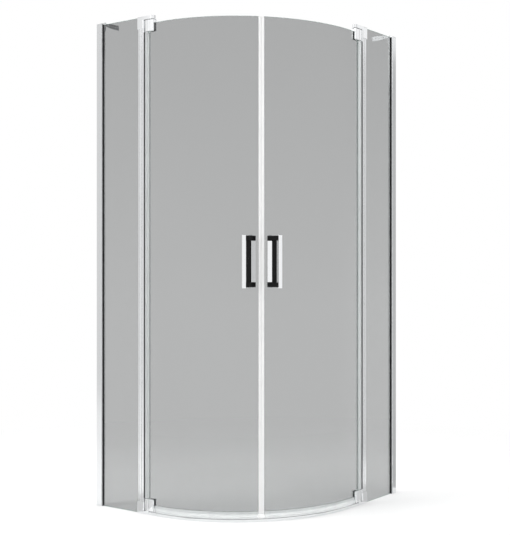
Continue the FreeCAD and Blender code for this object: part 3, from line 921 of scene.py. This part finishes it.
class ScrewMaker(Maker):
    """Sets a socket screw on each point, with its head the way the point faces."""

    HEAD_SIDES = 44
    SHANK_SIDES = 28
    SOCKET_SIDES = 6

    def __init__(self) -> None:
        """Build the tree."""
        words = ("Head radius", "Head height", "Shank radius", "Shank length", "Bevel", "Socket radius")
        super().__init__("socket_screws", {word: "Float" for word in words})
        graph = self.graph
        radius, height, shank_radius, length, bevel, socket_radius = (self.given(word) for word in words)
        head = self.rod(self.HEAD_SIDES, radius, height - bevel, (height - bevel) * 0.5)
        rim = graph.add(
            "GeometryNodeMeshCone",
            {"fill_type": "NGON"},
            {
                "Vertices": self.HEAD_SIDES,
                "Radius Top": radius - bevel,
                "Radius Bottom": radius,
                "Depth": bevel,
            },
            "Mesh",
        )
        rim = self.lifted(rim, height - bevel)
        shank = self.rod(self.SHANK_SIDES, shank_radius, length + bevel, (bevel - length) * 0.5)
        whole = self.boolean("UNION", {"Mesh 2": [head, rim, shank]})
        socket = self.rod(self.SOCKET_SIDES, socket_radius, height, height)
        screw = self.boolean("DIFFERENCE", {"Mesh 1": whole, "Mesh 2": socket})
        facing = graph.add(
            "GeometryNodeInputNamedAttribute", {"data_type": "FLOAT_VECTOR"}, {"Name": "facing"}, "Attribute"
        )
        turn = graph.add("FunctionNodeAlignRotationToVector", {"axis": "Z"}, {"Vector": facing})
        inputs = {"Points": self.given("Geometry"), "Instance": screw, "Rotation": turn}
        self.close(graph.add("GeometryNodeInstanceOnPoints", {}, inputs))

    def boolean(self, operation: str, inputs: dict[str, Any]) -> Sock:
        """Join shapes or cut one out of another."""
        settings = {"operation": operation, "solver": "EXACT"}
        return self.graph.add("GeometryNodeMeshBoolean", settings, inputs)

    def rod(self, sides: int, radius: Sock, depth: Sock, middle: Sock) -> Sock:
        """Upright rod of a radius and length, with the height of its middle.

        Args:
            sides: Number of its sides.
            radius: Its radius.
            depth: Its length.
            middle: Height of its middle.

        Returns:
            The rod's geometry.
        """
        inputs = {"Vertices": sides, "Radius": radius, "Depth": depth}
        rod = self.graph.add("GeometryNodeMeshCylinder", {"fill_type": "NGON"}, inputs, "Mesh")
        return self.lifted(rod, middle)

    def set_in(
        self, seats: Sequence[Place], size: ScrewSize, length: float, facing: Place = INWARD
    ) -> bpy.types.Mesh:
        """Make a group of equal steel screws.

        Args:
            seats: Middle of each head's seat.
            size: Sizes of the screws.
            length: Length of the shank.
            facing: Direction that the heads face.

        Returns:
            Mesh of the whole group.
        """
        points = new_mesh("screw_seats", seats, [], [])
        attribute = points.attributes.new("facing", "FLOAT_VECTOR", "POINT")
        for item in attribute.data:
            item.vector = facing
        values = {
            "Head radius": size.head_radius,
            "Head height": size.head_height,
            "Shank radius": size.shank_radius,
            "Shank length": length,
            "Bevel": size.bevel,
            "Socket radius": size.head_radius * size.socket_share,
        }
        return self.make(placed("screw_seats", points), STEEL, values)


STRIPS = StripMaker()
SWEEPS = SweepMaker()
SCREWS = ScrewMaker()


def joined(meshes: Sequence[bpy.types.Mesh]) -> bpy.types.Mesh:
    """Put several meshes of one finish together.

    Args:
        meshes: Meshes to put together, which are deleted.

    Returns:
        One mesh with the first one's material.
    """
    places: list[Place] = []
    faces: list[list[int]] = []
    for mesh in meshes:
        start = len(places)
        places += [tuple(v.co) for v in mesh.vertices]
        faces += [[start + i for i in p.vertices] for p in mesh.polygons]
    whole = new_mesh("group", places, faces, [meshes[0].materials[0]])
    for mesh in meshes:
        bpy.data.meshes.remove(mesh)
    return whole


@dataclass
class Sheet:
    """Sheet with holes and ground edges, flat or wrapped round the front's curve."""

    outline: Callable[[float], list[Flat]]
    holes: list[tuple[float, float, float]]
    thick: float
    middle: float = 0.0
    arris: float = 0.0006
    folds: int = 0
    tolerance: float = 1e-7

    def loops(self, inset: float) -> list[list[Flat]]:
        """Outer line and then each hole, set back from the true edges by inset."""
        rims = [ring((run, z), radius + inset, HOLE_SIDES) for run, z, radius in self.holes]
        return [self.outline(inset)] + rims

    def in_hole(self, run: float, z: float) -> bool:
        """Whether a point of the unrolled sheet lies in a hole."""
        return any(math.hypot(run - hole[0], z - hole[1]) <= hole[2] for hole in self.holes)

    def face(self) -> tuple[list[Flat], list[list[int]]]:
        """Fill one face of the sheet with triangles.

        Returns:
            The points and the triangles between them.
        """
        loops = self.loops(self.arris)
        points = [point for loop in loops for point in loop]
        edges = []
        start = 0
        for loop in loops:
            edges += [(start + i, start + (i + 1) % len(loop)) for i in range(len(loop))]
            start += len(loop)
        rim = list(range(len(loops[0])))
        low = min(z for _, z in loops[0])
        high = max(z for _, z in loops[0])
        last = max(run for run, _ in loops[0])
        for run in PLAN.bend_runs(last, self.folds)[:-1] if self.folds else []:
            edges.append((len(points), len(points) + 1))
            points += [(run, low), (run, high)]
        found = delaunay_2d_cdt([Vector(p) for p in points], edges, [rim], 1, self.tolerance)
        flat = [(p.x, p.y) for p in found[0]]
        kept = []
        for corners in found[2]:
            run = sum(flat[i][0] for i in corners) / len(corners)
            z = sum(flat[i][1] for i in corners) / len(corners)
            if not self.in_hole(run, z):
                kept.append(list(corners))
        return flat, kept

    def mesh(self, finish: Finish, edge: Finish) -> bpy.types.Mesh:
        """Build the sheet.

        Args:
            finish: Finish of the two faces.
            edge: Finish of the edges.

        Returns:
            The sheet's mesh.
        """
        flat, triangles = self.face()
        front = self.middle - self.thick / 2
        back = self.middle + self.thick / 2
        places: list[Place] = []
        faces: list[list[int]] = []
        for depth, turn in ((front, 1), (back, -1)):
            start = len(places)
            places += [PLAN.wrap(run, depth, z) for run, z in flat]
            faces += [[start + i for i in corners[::turn]] for corners in triangles]
        marks = [0] * len(faces)
        levels = (
            (self.arris, front),
            (0.0, front + self.arris),
            (0.0, back - self.arris),
            (self.arris, back),
        )
        rings = [(self.loops(inset), depth) for inset, depth in levels]
        for (near, near_depth), (far, far_depth) in zip(rings, rings[1:]):
            for number, (near_loop, far_loop) in enumerate(zip(near, far)):
                start = len(places)
                count = len(near_loop)
                places += [PLAN.wrap(run, near_depth, z) for run, z in near_loop]
                places += [PLAN.wrap(run, far_depth, z) for run, z in far_loop]
                for i in range(count):
                    j = (i + 1) % count
                    wall = [start + i, start + count + i, start + count + j, start + j]
                    faces.append(wall if number == 0 else wall[::-1])
        marks += [1] * (len(faces) - len(marks))
        mesh = new_mesh("sheet", places, faces, [finish.material(), edge.material()])
        mesh.polygons.foreach_set("material_index", marks)
        return mesh


@dataclass
class Half:
    """Sub-assembly that each half of the enclosure has."""

    side: Side
    swings: ClassVar[bool] = False
    finishes: ClassVar[NodeFinishes] = {}

    def dress(self) -> None:
        """Give the CAD nodes that stay in sight their finish."""
        for finish, words in self.finishes.items():
            for word in words:
                dress_node(self.side.node(word), finish)

    def put(self, word: str, mesh: bpy.types.Mesh, finish: Finish, node: str) -> None:
        """Add a piece of this side in place of a CAD node.

        Args:
            word: Name of the piece without its side.
            mesh: Mesh in the left half's drawing.
            finish: Finish that names the slot.
            node: Name of the CAD node without its side.
        """
        body = self.side.door if self.swings else "frame"
        add_piece(self.side.node(word), mesh, self.side, body, finish.slot, [self.side.node(node)])

    def build(self) -> None:
        """Make the pieces of the scene's own, which each sub-assembly gives."""
        raise NotImplementedError


@dataclass
class WallFixing(Half):
    """Wall profile, glass channel, gaskets, cap, screws and bracket of one side."""

    finishes: ClassVar[NodeFinishes] = {
        ALUMINIUM: ("wall_profile", "glass_channel", "profile_cap", "top_bracket"),
    }
    channel_end: float = 0.0295
    bead_end: float = 0.032
    bead_tip: float = 0.0044
    bead_shoulder: float = 0.0011
    bead_round: float = 0.0008
    liner_back: float = 0.004
    liner_start: float = 0.0148
    liner_half: float = 0.0069
    panel_start: float = 0.0168
    half: float = 0.011
    bracket_foot: float = 0.003
    lock_x: float = 0.0205
    lock_heights: tuple[float, float] = (0.1, 1.0)
    foot_lock_height: float = 1.985
    lock_gap: float = 0.00005
    lock: ScrewSize = ScrewSize(0.0035, 0.0022, 0.00175, 0.0004)

    def gaskets(self) -> None:
        """Make the lining round the glass, with the bead that shows past the channel."""
        glass_half = PLAN.glass / 2
        corners = [
            (self.panel_start, glass_half),
            (self.channel_end, glass_half),
            (self.channel_end, self.liner_back),
            (self.liner_start, self.liner_back),
            (self.liner_start, -self.liner_half),
            (self.channel_end + self.bead_shoulder, -self.liner_half),
            (self.bead_end, -self.bead_tip),
            (self.bead_end, -glass_half),
            (self.panel_start, -glass_half),
        ]
        mesh = STRIPS.upright([softened(corners, self.bead_round)], 0.0, PLAN.height, BLACK_RUBBER)
        self.put("glass_bead", mesh, BLACK_RUBBER, "profile_gaskets")

    def screws(self) -> None:
        """Make the screws that lock the glass channel in the profile."""
        tip = self.liner_half + self.lock_gap
        groups = []
        for heights, seat in (
            (self.lock_heights, self.half),
            ((self.foot_lock_height,), self.half + self.bracket_foot),
        ):
            seats = [(self.lock_x, seat, z) for z in heights]
            groups.append(SCREWS.set_in(seats, self.lock, seat - tip))
        self.put("lock_screws", joined(groups), STEEL, "channel_screws")

    def build(self) -> None:
        """Make the gaskets and the screws."""
        self.gaskets()
        self.screws()


@dataclass
class FixedPanel(Half):
    """Fixed pane with the hinge post, its gasket, the hinge blocks and their screws."""

    finishes: ClassVar[NodeFinishes] = {
        ALUMINIUM: ("hinge_post",),
        CHROME: ("lower_hinge_block", "upper_hinge_block"),
        STEEL: ("hinge_pins",),
    }
    start: float = 0.0168
    end: float = 0.249
    post_end: float = 0.271
    post_half: float = 0.0095
    block_half: float = 0.0115
    screw_x: float = 0.242
    screw_z: float = 0.024
    hole_radius: float = 0.0045
    counterbore: float = 0.004
    blind_skin: float = 0.002
    lip_reach: float = 0.006
    lip_width: float = 0.003
    lip_face: float = 0.0112
    lip_hollow: float = 0.0116
    lip_round: float = 0.0007
    lip_steps: int = 10
    screw: ScrewSize = ScrewSize(0.0045, 0.0036, 0.0025)

    def outline(self, inset: float) -> list[Flat]:
        """Edge of the pane, against the clock and set back by inset."""
        return rectangle(self.start + inset, self.end - inset, inset, PLAN.height - inset)

    def pane(self) -> None:
        """Make the flat pane."""
        holes = [(self.screw_x, z, self.hole_radius) for z in PLAN.both_ends([self.screw_z])]
        mesh = Sheet(self.outline, holes, PLAN.glass).mesh(GLASS, GLASS_EDGE)
        self.put("fixed_pane", mesh, GLASS, "fixed_panel")

    def lip_section(self) -> list[Flat]:
        """Section of the lip inside the shower, hollowed round the door's bulb.

        Returns:
            The outline, against the clock.
        """
        inner = self.post_half - self.lip_width
        tip = self.post_end + self.lip_reach
        first = math.pi - math.asin(inner / self.lip_hollow)
        last = math.acos((tip - PLAN.pivot) / self.lip_hollow)
        corners = [(self.post_end, inner)]
        corners += arc((PLAN.pivot, 0.0), self.lip_hollow, first, last, self.lip_steps)
        corners += [(tip, self.lip_face), (self.post_end, self.lip_face)]
        return softened(corners, self.lip_round)

    def gasket(self) -> None:
        """Make the soft lips on the post beside the door."""
        lip = self.lip_section()
        other = [(x, -y) for x, y in lip][::-1]
        mesh = STRIPS.upright([lip, other], PLAN.seal_start, PLAN.height - PLAN.seal_start, BLACK_RUBBER)
        self.put("post_lips", mesh, BLACK_RUBBER, "post_gasket")

    def screws(self) -> None:
        """Make the screws that hold the hinge blocks to the pane."""
        seat = self.block_half - self.counterbore
        tip = -self.block_half + self.blind_skin
        seats = [(self.screw_x, seat, z) for z in PLAN.both_ends([self.screw_z])]
        self.put("hinge_block_screws", SCREWS.set_in(seats, self.screw, seat - tip), STEEL, "block_screws")

    def build(self) -> None:
        """Make the pane, the gasket and the screws."""
        self.pane()
        self.gasket()
        self.screws()


@dataclass
class Door(Half):
    """Curved door pane with its seals, clamps, pads, screws and bushes."""

    swings: ClassVar[bool] = True
    finishes: ClassVar[NodeFinishes] = {
        CHROME: ("lower_clamp", "upper_clamp", "clamp_plates"),
        NYLON: ("hinge_bushes",),
        MAGNET: ("magnet_strip",),
    }
    hinge_edge: float = 0.004
    closing_gap: float = 0.0055
    bottom: float = 0.029
    top: float = 1.971
    bend_steps: int = 40
    notch_end: float = 0.296
    notch_height: float = 0.06375
    screw_x: float = 0.309
    screw_heights: tuple[float, float] = (0.039, 0.053)
    hole_radius: float = 0.005
    clamp_top: float = 0.063
    clamp_end: float = 0.323
    clamp_half: float = 0.0115
    counterbore: float = 0.004
    screw_tip: float = -0.009
    pad: float = 0.002
    pad_inset: float = 0.0005
    pad_short: float = 0.005
    pad_start: float = 0.2965
    pad_hole: float = 0.00305
    pad_arris: float = 0.0002
    bulb_radius: float = 0.0112
    bulb_wall: float = 0.0015
    bulb_lumen: float = 0.0042
    bulb_steps: int = 56
    grip_half: float = 0.00305
    grip_wall: float = 0.00135
    edge_gap: float = 0.0002
    wiper_grip: float = 0.01
    wiper_web: float = 0.004
    wiper_gap: float = 0.001
    wiper_end: float = 0.0118
    wiper_round: float = 0.0005
    wiper_round_steps: int = 3
    wiper_steps: int = 48
    lip_bottom: float = 0.0126
    lip_root: float = 0.002
    lip_tip: float = 0.001
    magnet_gap: float = 0.0003
    magnet_tip: float = 0.005
    magnet_tip_half: float = 0.006
    magnet_tip_round: float = 0.0011
    magnet_grip: float = 0.0055
    magnet_leg_taper: float = 0.0003
    magnet_thick: float = 0.003
    magnet_half: float = 0.004
    screw: ScrewSize = ScrewSize(0.005, 0.0036, 0.003)

    def outline(self, inset: float) -> list[Flat]:
        """Edge of the unrolled pane, with a notch round each knuckle.

        Args:
            inset: How far the line stands back from the true edge.

        Returns:
            The corners, against the clock.
        """
        start = PLAN.pivot + self.hinge_edge + inset
        end = PLAN.closing_run - self.closing_gap - inset
        low, high = self.bottom + inset, self.top - inset
        notch = self.notch_end + inset
        lower = self.notch_height + inset
        upper = PLAN.height - self.notch_height - inset
        runs = PLAN.bend_runs(end, self.bend_steps)
        corners = [(notch, low)] + [(run, low) for run in runs] + [(run, high) for run in runs[::-1]]
        return corners + [(notch, high), (notch, upper), (start, upper), (start, lower), (notch, lower)]

    def pane(self) -> None:
        """Make the pane, flat at the hinge and then curved."""
        holes = [(self.screw_x, z, self.hole_radius) for z in PLAN.both_ends(self.screw_heights)]
        bolt_run = PLAN.closing_run - PLAN.handle_offset + Handle.base_shift
        holes += [(bolt_run, z, self.hole_radius) for z in Handle.bolt_heights]
        mesh = Sheet(self.outline, holes, PLAN.glass, folds=self.bend_steps).mesh(GLASS, GLASS_EDGE)
        self.put("door_pane", mesh, GLASS, "door_glass")

    def pad_outline(self, low: float, high: float, inset: float) -> list[Flat]:
        """Edge of a pad between two heights, set back by inset."""
        end = self.clamp_end - self.pad_short
        return rectangle(self.pad_start + inset, end - inset, low + inset, high - inset)

    def pads(self) -> None:
        """Make the soft pads between the clamps and the glass."""
        low, high = self.bottom + self.pad_inset, self.clamp_top - self.pad_inset
        twins = [PLAN.height - z for z in self.screw_heights]
        middle = PLAN.glass / 2 + self.pad / 2
        meshes = []
        for foot, head, heights in (
            (low, high, self.screw_heights),
            (PLAN.height - high, PLAN.height - low, twins),
        ):
            outline = partial(self.pad_outline, foot, head)
            holes = [(self.screw_x, z, self.pad_hole) for z in heights]
            for depth in (-middle, middle):
                sheet = Sheet(outline, holes, self.pad, depth, self.pad_arris)
                meshes.append(sheet.mesh(BLACK_RUBBER, BLACK_RUBBER))
        self.put("clamp_pads", joined(meshes), BLACK_RUBBER, "clamp_gaskets")

    def hinge_bulb(self) -> None:
        """Make the clear bulb round the pivot line."""
        x = PLAN.pivot
        half = self.grip_half
        mouth = math.asin(half / self.bulb_radius)
        outer = arc((x, 0.0), self.bulb_radius, mouth, 2 * math.pi - mouth, self.bulb_steps)
        slot_x = x + self.hinge_edge - self.edge_gap
        outer += [(slot_x, -half), (slot_x, half)]
        lumen_x = x - self.bulb_radius + self.bulb_wall + self.bulb_lumen
        lumen = ring((lumen_x, 0.0), self.bulb_lumen, HOLE_SIDES)
        mesh = STRIPS.upright([outer, lumen], PLAN.seal_start, PLAN.height - PLAN.seal_start, CLEAR_VINYL)
        self.put("hinge_bulb", mesh, CLEAR_VINYL, "hinge_seal")

    def wiper(self) -> None:
        """Make the clear seal along the bottom edge, with its wiping lip."""
        outer = self.grip_half + self.grip_wall
        web_top = self.bottom - self.edge_gap
        web_bottom = web_top - self.wiper_web
        top = self.bottom + self.wiper_grip
        front = -PLAN.glass / 2
        corners = [
            (-outer, top),
            (-self.grip_half, top),
            (-self.grip_half, web_top),
            (self.grip_half, web_top),
            (self.grip_half, top),
            (outer, top),
            (outer, web_bottom),
            (front + self.lip_root, web_bottom),
            (front + self.lip_tip, self.lip_bottom),
            (front, self.lip_bottom),
            (-outer, web_bottom),
        ]
        section = softened(corners, self.wiper_round, self.wiper_round_steps)
        end = PLAN.closing_run - self.wiper_end
        runs = [self.clamp_end + self.wiper_gap] + PLAN.bend_runs(end, self.wiper_steps)
        mesh = SWEEPS.along([PLAN.wrap(run, 0.0, 0.0) for run in runs], section, CLEAR_VINYL)
        self.put("door_wiper", mesh, CLEAR_VINYL, "bottom_seal")

    def magnet_holder(self) -> None:
        """Make the white strip on the closing edge, with the pocket for the magnet."""
        outer = self.grip_half + self.grip_wall
        leg = outer - self.magnet_leg_taper
        near = self.magnet_gap
        shoulder = near + self.magnet_tip
        far = shoulder + self.magnet_grip
        wide = self.magnet_tip_half
        nose = [(shoulder, -wide), (near, -wide), (near, wide), (shoulder, wide)]
        legs = [
            (shoulder, outer),
            (far, leg),
            (far, self.grip_half),
            (shoulder, self.grip_half),
            (shoulder, -self.grip_half),
            (far, -self.grip_half),
            (far, -leg),
            (shoulder, -outer),
        ]
        pocket_near = near + (self.magnet_tip - self.magnet_thick) / 2
        pocket = rectangle(pocket_near, pocket_near + self.magnet_thick, -self.magnet_half, self.magnet_half)
        outlines = []
        for outline in (softened(nose, self.magnet_tip_round) + legs, pocket):
            turned = [PLAN.wrap(PLAN.closing_run - before, depth, 0.0) for before, depth in outline]
            outlines.append([(x, y) for x, y, _ in turned])
        mesh = STRIPS.upright(outlines, self.bottom, self.top, WHITE_VINYL)
        self.put("magnet_holder", mesh, WHITE_VINYL, "magnet_seal")

    def screws(self) -> None:
        """Make the screws of the clamps."""
        seat = self.clamp_half - self.counterbore
        seats = [(self.screw_x, seat, z) for z in PLAN.both_ends(self.screw_heights)]
        mesh = SCREWS.set_in(seats, self.screw, seat - self.screw_tip)
        self.put("door_clamp_screws", mesh, STEEL, "clamp_screws")

    def build(self) -> None:
        """Make the pane, the pads, the seals and the screws."""
        self.pane()
        self.pads()
        self.hinge_bulb()
        self.wiper()
        self.magnet_holder()
        self.screws()


@dataclass
class Handle(Half):
    """Bar handle: dark base with arms, bright grip and trim, inner bar and bolts."""

    swings: ClassVar[bool] = True
    finishes: ClassVar[NodeFinishes] = {
        LACQUER: ("handle_base",),
        CHROME: ("handle_grip", "handle_trim", "inner_handle"),
    }
    base_shift: ClassVar[float] = 0.001
    bolt_heights: ClassVar[tuple[float, float]] = (0.92325, 1.10475)
    seat: float = 0.035
    tip: float = -0.0123
    screw: ScrewSize = ScrewSize(0.005, 0.0036, 0.003)

    def build(self) -> None:
        """Make the bolts through the inner bar and the glass."""
        near = PLAN.at_handle(self.base_shift, self.seat)
        far = PLAN.at_handle(self.base_shift, self.tip)
        length = math.dist(near, far)
        facing = ((near[0] - far[0]) / length, (near[1] - far[1]) / length, 0.0)
        seats = [(*near, z) for z in self.bolt_heights]
        mesh = SCREWS.set_in(seats, self.screw, length, facing)
        self.put("handle_through_bolts", mesh, STEEL, "handle_bolts")


@dataclass
class Threshold:
    """Rounded strip on the floor under both doors."""

    start: float = 0.2952
    half: float = 0.009
    height: float = 0.012
    shoulder: float = 0.004
    shoulder_steps: int = 8
    bend_steps: int = 120

    def build(self) -> None:
        """Make the strip along the flat ends and the whole curve."""
        foot = [(-self.half, 0.0), (self.half, 0.0)]
        corners = [foot[0], (-self.half, self.height), (self.half, self.height), foot[1]]
        rounded = softened(corners, self.shoulder, self.shoulder_steps)
        crown = [point for point in rounded if point[1] > self.shoulder / 2]
        end_run = PLAN.bend_start + PLAN.mid_radius * math.pi / 2
        runs = [self.start] + PLAN.bend_runs(end_run, self.bend_steps)
        path = [PLAN.wrap(run, 0.0, 0.0) for run in runs]
        last = path[-1]
        path.append((last[0], last[1] + PLAN.bend_start - self.start, 0.0))
        mesh = SWEEPS.along(path, [foot[0], *crown, foot[1]], ALUMINIUM)
        add_piece("curved_threshold", mesh, Side.LEFT, "frame", ALUMINIUM.slot, ["threshold_strip"])


@dataclass(frozen=True)
class Lamp:
    """Square soft lamp that points at the middle of the object, with its power in watts."""

    place: Place
    size: float
    power: float
    aim: Place = (0.0, 0.0, 1.0)

    def hang(self, name: str) -> None:
        """Put the lamp in the studio.

        Args:
            name: Name of the lamp.
        """
        data = bpy.data.lights.new(name, "AREA")
        data.size = self.size
        data.energy = self.power
        lamp = placed(name, data)
        lamp.location = self.place
        lamp.rotation_euler = (Vector(self.aim) - Vector(self.place)).to_track_quat("-Z", "Y").to_euler()
        lamp.visible_glossy = False


@dataclass(frozen=True)
class Card:
    """Upright card that a piece of metal mirrors, with an optional strip on the floor before it.

    It stands at a distance and bearing from the spot that it is for. Its shade fades to
    white from the core to both sides.
    """

    aim: Flat
    bearing: float
    distance: float
    width: float
    shade: float
    foot: float = 0.0
    lift: float = 0.001
    height: float = 4.8
    taper: float = 0.03
    core: float = 0.2

    def surface(self, graph: Graph) -> Sock:
        """Shader that only shows in metal: sharp mirroring, as in glass, passes it.

        Args:
            graph: Tree that the nodes go into.

        Returns:
            The shader's socket.
        """
        across = graph.add("ShaderNodeSeparateXYZ", {}, {"Vector": graph.place()}, "X")
        side = across.maths("ABSOLUTE", across, 0.0) * (2.0 / self.width)
        shade = graph.glow((self.shade, self.shade, self.shade, 1.0))
        shown = graph.mix(side.span(self.core, 1.0), shade, graph.glow(WHITE))
        return graph.mix(graph.rays("Is Singular Ray"), shown, graph.clear(WHITE))

    def stand(self, name: str) -> None:
        """Put the card in the studio.

        Args:
            name: Name of the card.
        """
        wide = self.width / 2
        corners = [(x, 0.0, z) for x, z in rectangle(-wide, wide, 0.0, self.height)]
        faces = [[0, 1, 2, 3]]
        if self.foot:
            narrow = wide * self.taper
            corners += [(-narrow, -self.foot, 0.0), (narrow, -self.foot, 0.0)]
            faces.append([4, 5, 1, 0])
        card = placed(name, new_mesh(name, corners, faces, [new_material(name, self.surface)]))
        bearing = math.radians(self.bearing)
        x = self.aim[0] + self.distance * math.cos(bearing)
        y = self.aim[1] + self.distance * math.sin(bearing)
        card.location = (x, y, self.lift)
        card.rotation_euler = (0.0, 0.0, bearing - math.pi / 2)
        card.visible_camera = False
        card.visible_diffuse = False
        card.visible_shadow = False
        card.visible_transmission = False


LAMPS = {
    "key_lamp": Lamp((-2.6, -3.4, 4.2), 2.6, 120.0),
    "fill_lamp": Lamp((3.8, -1.2, 3.4), 2.8, 70.0),
    "top_lamp": Lamp((0.0, 0.0, 5.2), 3.0, 90.0),
}
LEFT_HINGE: Flat = (-0.17, -0.45)
RIGHT_HINGE: Flat = (0.45, 0.17)
CARDS = {
    "left_profile_card": Card((-0.45, -0.45), -137.0, 3.5, 0.9, 0.7),
    "left_front_card": Card(LEFT_HINGE, -100.0, 3.3, 1.2, 0.05, 3.2),
    "left_wall_card": Card(LEFT_HINGE, -170.0, 3.4, 1.4, 0.05),
    "right_profile_card": Card((0.45, 0.45), 61.0, 3.0, 1.5, 0.5, 2.9, height=2.55),
    "right_front_card": Card(RIGHT_HINGE, 17.0, 3.3, 1.0, 0.05, 3.2),
    "right_wall_card": Card(RIGHT_HINGE, 97.0, 3.4, 1.4, 0.05),
    "left_bracket_card": Card((-0.45, -0.38), 43.0, 1.5, 0.3, 0.06, lift=2.15, height=0.45),
    "right_bracket_card": Card((0.37, 0.45), -122.0, 3.4, 1.0, 2.4, lift=2.4, height=0.7),
    "left_foot_card": Card((-0.21, -0.454), -134.5, 0.32, 0.2, 0.66, 0.3, height=0.01, taper=0.35),
    "right_foot_card": Card((0.454, 0.21), 58.0, 0.32, 0.2, 0.6, 0.3, height=0.01, taper=0.35),
    "handle_card": Card((0.28, -0.28), 0.5, 3.7, 1.0, 0.6),
}


@dataclass
class Studio:
    """Pale floor, soft lamps, white surroundings and the camera."""

    floor_radius: float = 9.0
    floor_sides: int = 96
    floor_drop: float = 0.0004
    floor_colour: Colour = (0.92, 0.92, 0.92, 1.0)
    fade_start: float = 0.8
    fade_end: float = 2.4
    surround: float = 0.62
    glass_dusk: tuple[float, float, float] = (-0.04, 0.26, 0.85)
    metal_dusk: tuple[float, float, float] = (0.28, 0.75, 0.7)
    eye: Place = (2.77874, -3.43827, 0.98853)
    look: Place = (-0.56237, 0.82689, 0.0)
    lens: float = 69.063
    sensor: float = 36.0
    framing: float = -0.15
    sight: float = 60.0

    def seen(self, graph: Graph) -> Sock:
        """Rays to which the surroundings are plain white, as 1, and the others, as 0."""
        direct = graph.rays("Is Camera Ray").at_least(graph.rays("Is Glossy Ray"))
        return direct.at_least(graph.rays("Is Transmission Ray"))

    def dusk(self, graph: Graph, kind: str, limits: tuple[float, float, float]) -> Sock:
        """Darken the surroundings towards the ceiling for one kind of mirroring.

        Args:
            graph: Tree that the nodes go into.
            kind: Kind of rays that see it, by the Light Path's output.
            limits: Rise of a ray where it starts, where it is full, and its full share.

        Returns:
            The share of the light that is left.
        """
        low, high, share = limits
        ray = graph.add("ShaderNodeTexCoord", out="Generated")
        rise = graph.add("ShaderNodeSeparateXYZ", {}, {"Vector": ray}, "Z")
        return 1.0 - rise.span(low, high) * graph.rays(kind) * share

    def world(self) -> None:
        """Make the white surroundings, which metal and glass mirror as darker higher up."""
        world = bpy.data.worlds.new("white_surroundings")
        graph = Graph.fresh(world)
        level = self.surround + self.seen(graph) * (1.0 - self.surround)
        in_glass = self.dusk(graph, "Is Singular Ray", self.glass_dusk)
        in_metal = self.dusk(graph, "Is Glossy Ray", self.metal_dusk)
        inputs = {"Color": WHITE, "Strength": level * in_glass * in_metal}
        light = graph.add("ShaderNodeBackground", {}, inputs)
        graph.add("ShaderNodeOutputWorld", {}, {"Surface": light})
        bpy.context.scene.world = world

    def floor_surface(self, graph: Graph) -> Sock:
        """Shader of the floor, which fades into the surroundings away from the object.

        Args:
            graph: Tree that the nodes go into.

        Returns:
            The shader's socket.
        """
        inputs = {"Vector": graph.place()}
        reach = graph.add("ShaderNodeVectorMath", {"operation": "LENGTH"}, inputs, "Value")
        share = reach.span(self.fade_start, self.fade_end) * self.seen(graph)
        return graph.mix(share, graph.matt(self.floor_colour), graph.glow(WHITE))

    def floor(self) -> None:
        """Make the round floor, just under the object."""
        rim = ring((0.0, 0.0), self.floor_radius, self.floor_sides)
        points = [(x, y, -self.floor_drop) for x, y in rim]
        material = new_material("pale_floor", self.floor_surface)
        mesh = new_mesh("studio_floor", points, [list(range(len(points)))], [material])
        placed("studio_floor", mesh)

    def camera(self) -> None:
        """Add the camera at the photograph's viewing angle."""
        data = bpy.data.cameras.new("view")
        data.sensor_width = self.sensor
        data.lens = self.lens
        data.shift_x = self.framing
        data.clip_end = self.sight
        camera = placed("view", data)
        camera.location = self.eye
        camera.rotation_euler = Vector(self.look).to_track_quat("-Z", "Y").to_euler()
        bpy.context.scene.camera = camera

    def build(self) -> None:
        """Set up the whole studio."""
        self.camera()
        self.world()
        self.floor()
        for name, lamp in LAMPS.items():
            lamp.hang(name)
        for name, card in CARDS.items():
            card.stand(name)
        bpy.context.scene.view_settings.view_transform = "Standard"


def main() -> None:
    """Build every sub-assembly and the studio."""
    logging.basicConfig(level=logging.INFO, format="%(name)s: %(message)s")
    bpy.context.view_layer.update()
    Studio().build()
    for side in Side:
        for kind in (WallFixing, FixedPanel, Door, Handle):
            part = kind(side)
            part.dress()
            part.build()
    Threshold().build()
    bpy.context.view_layer.update()


if __name__ == "__main__":
    main()
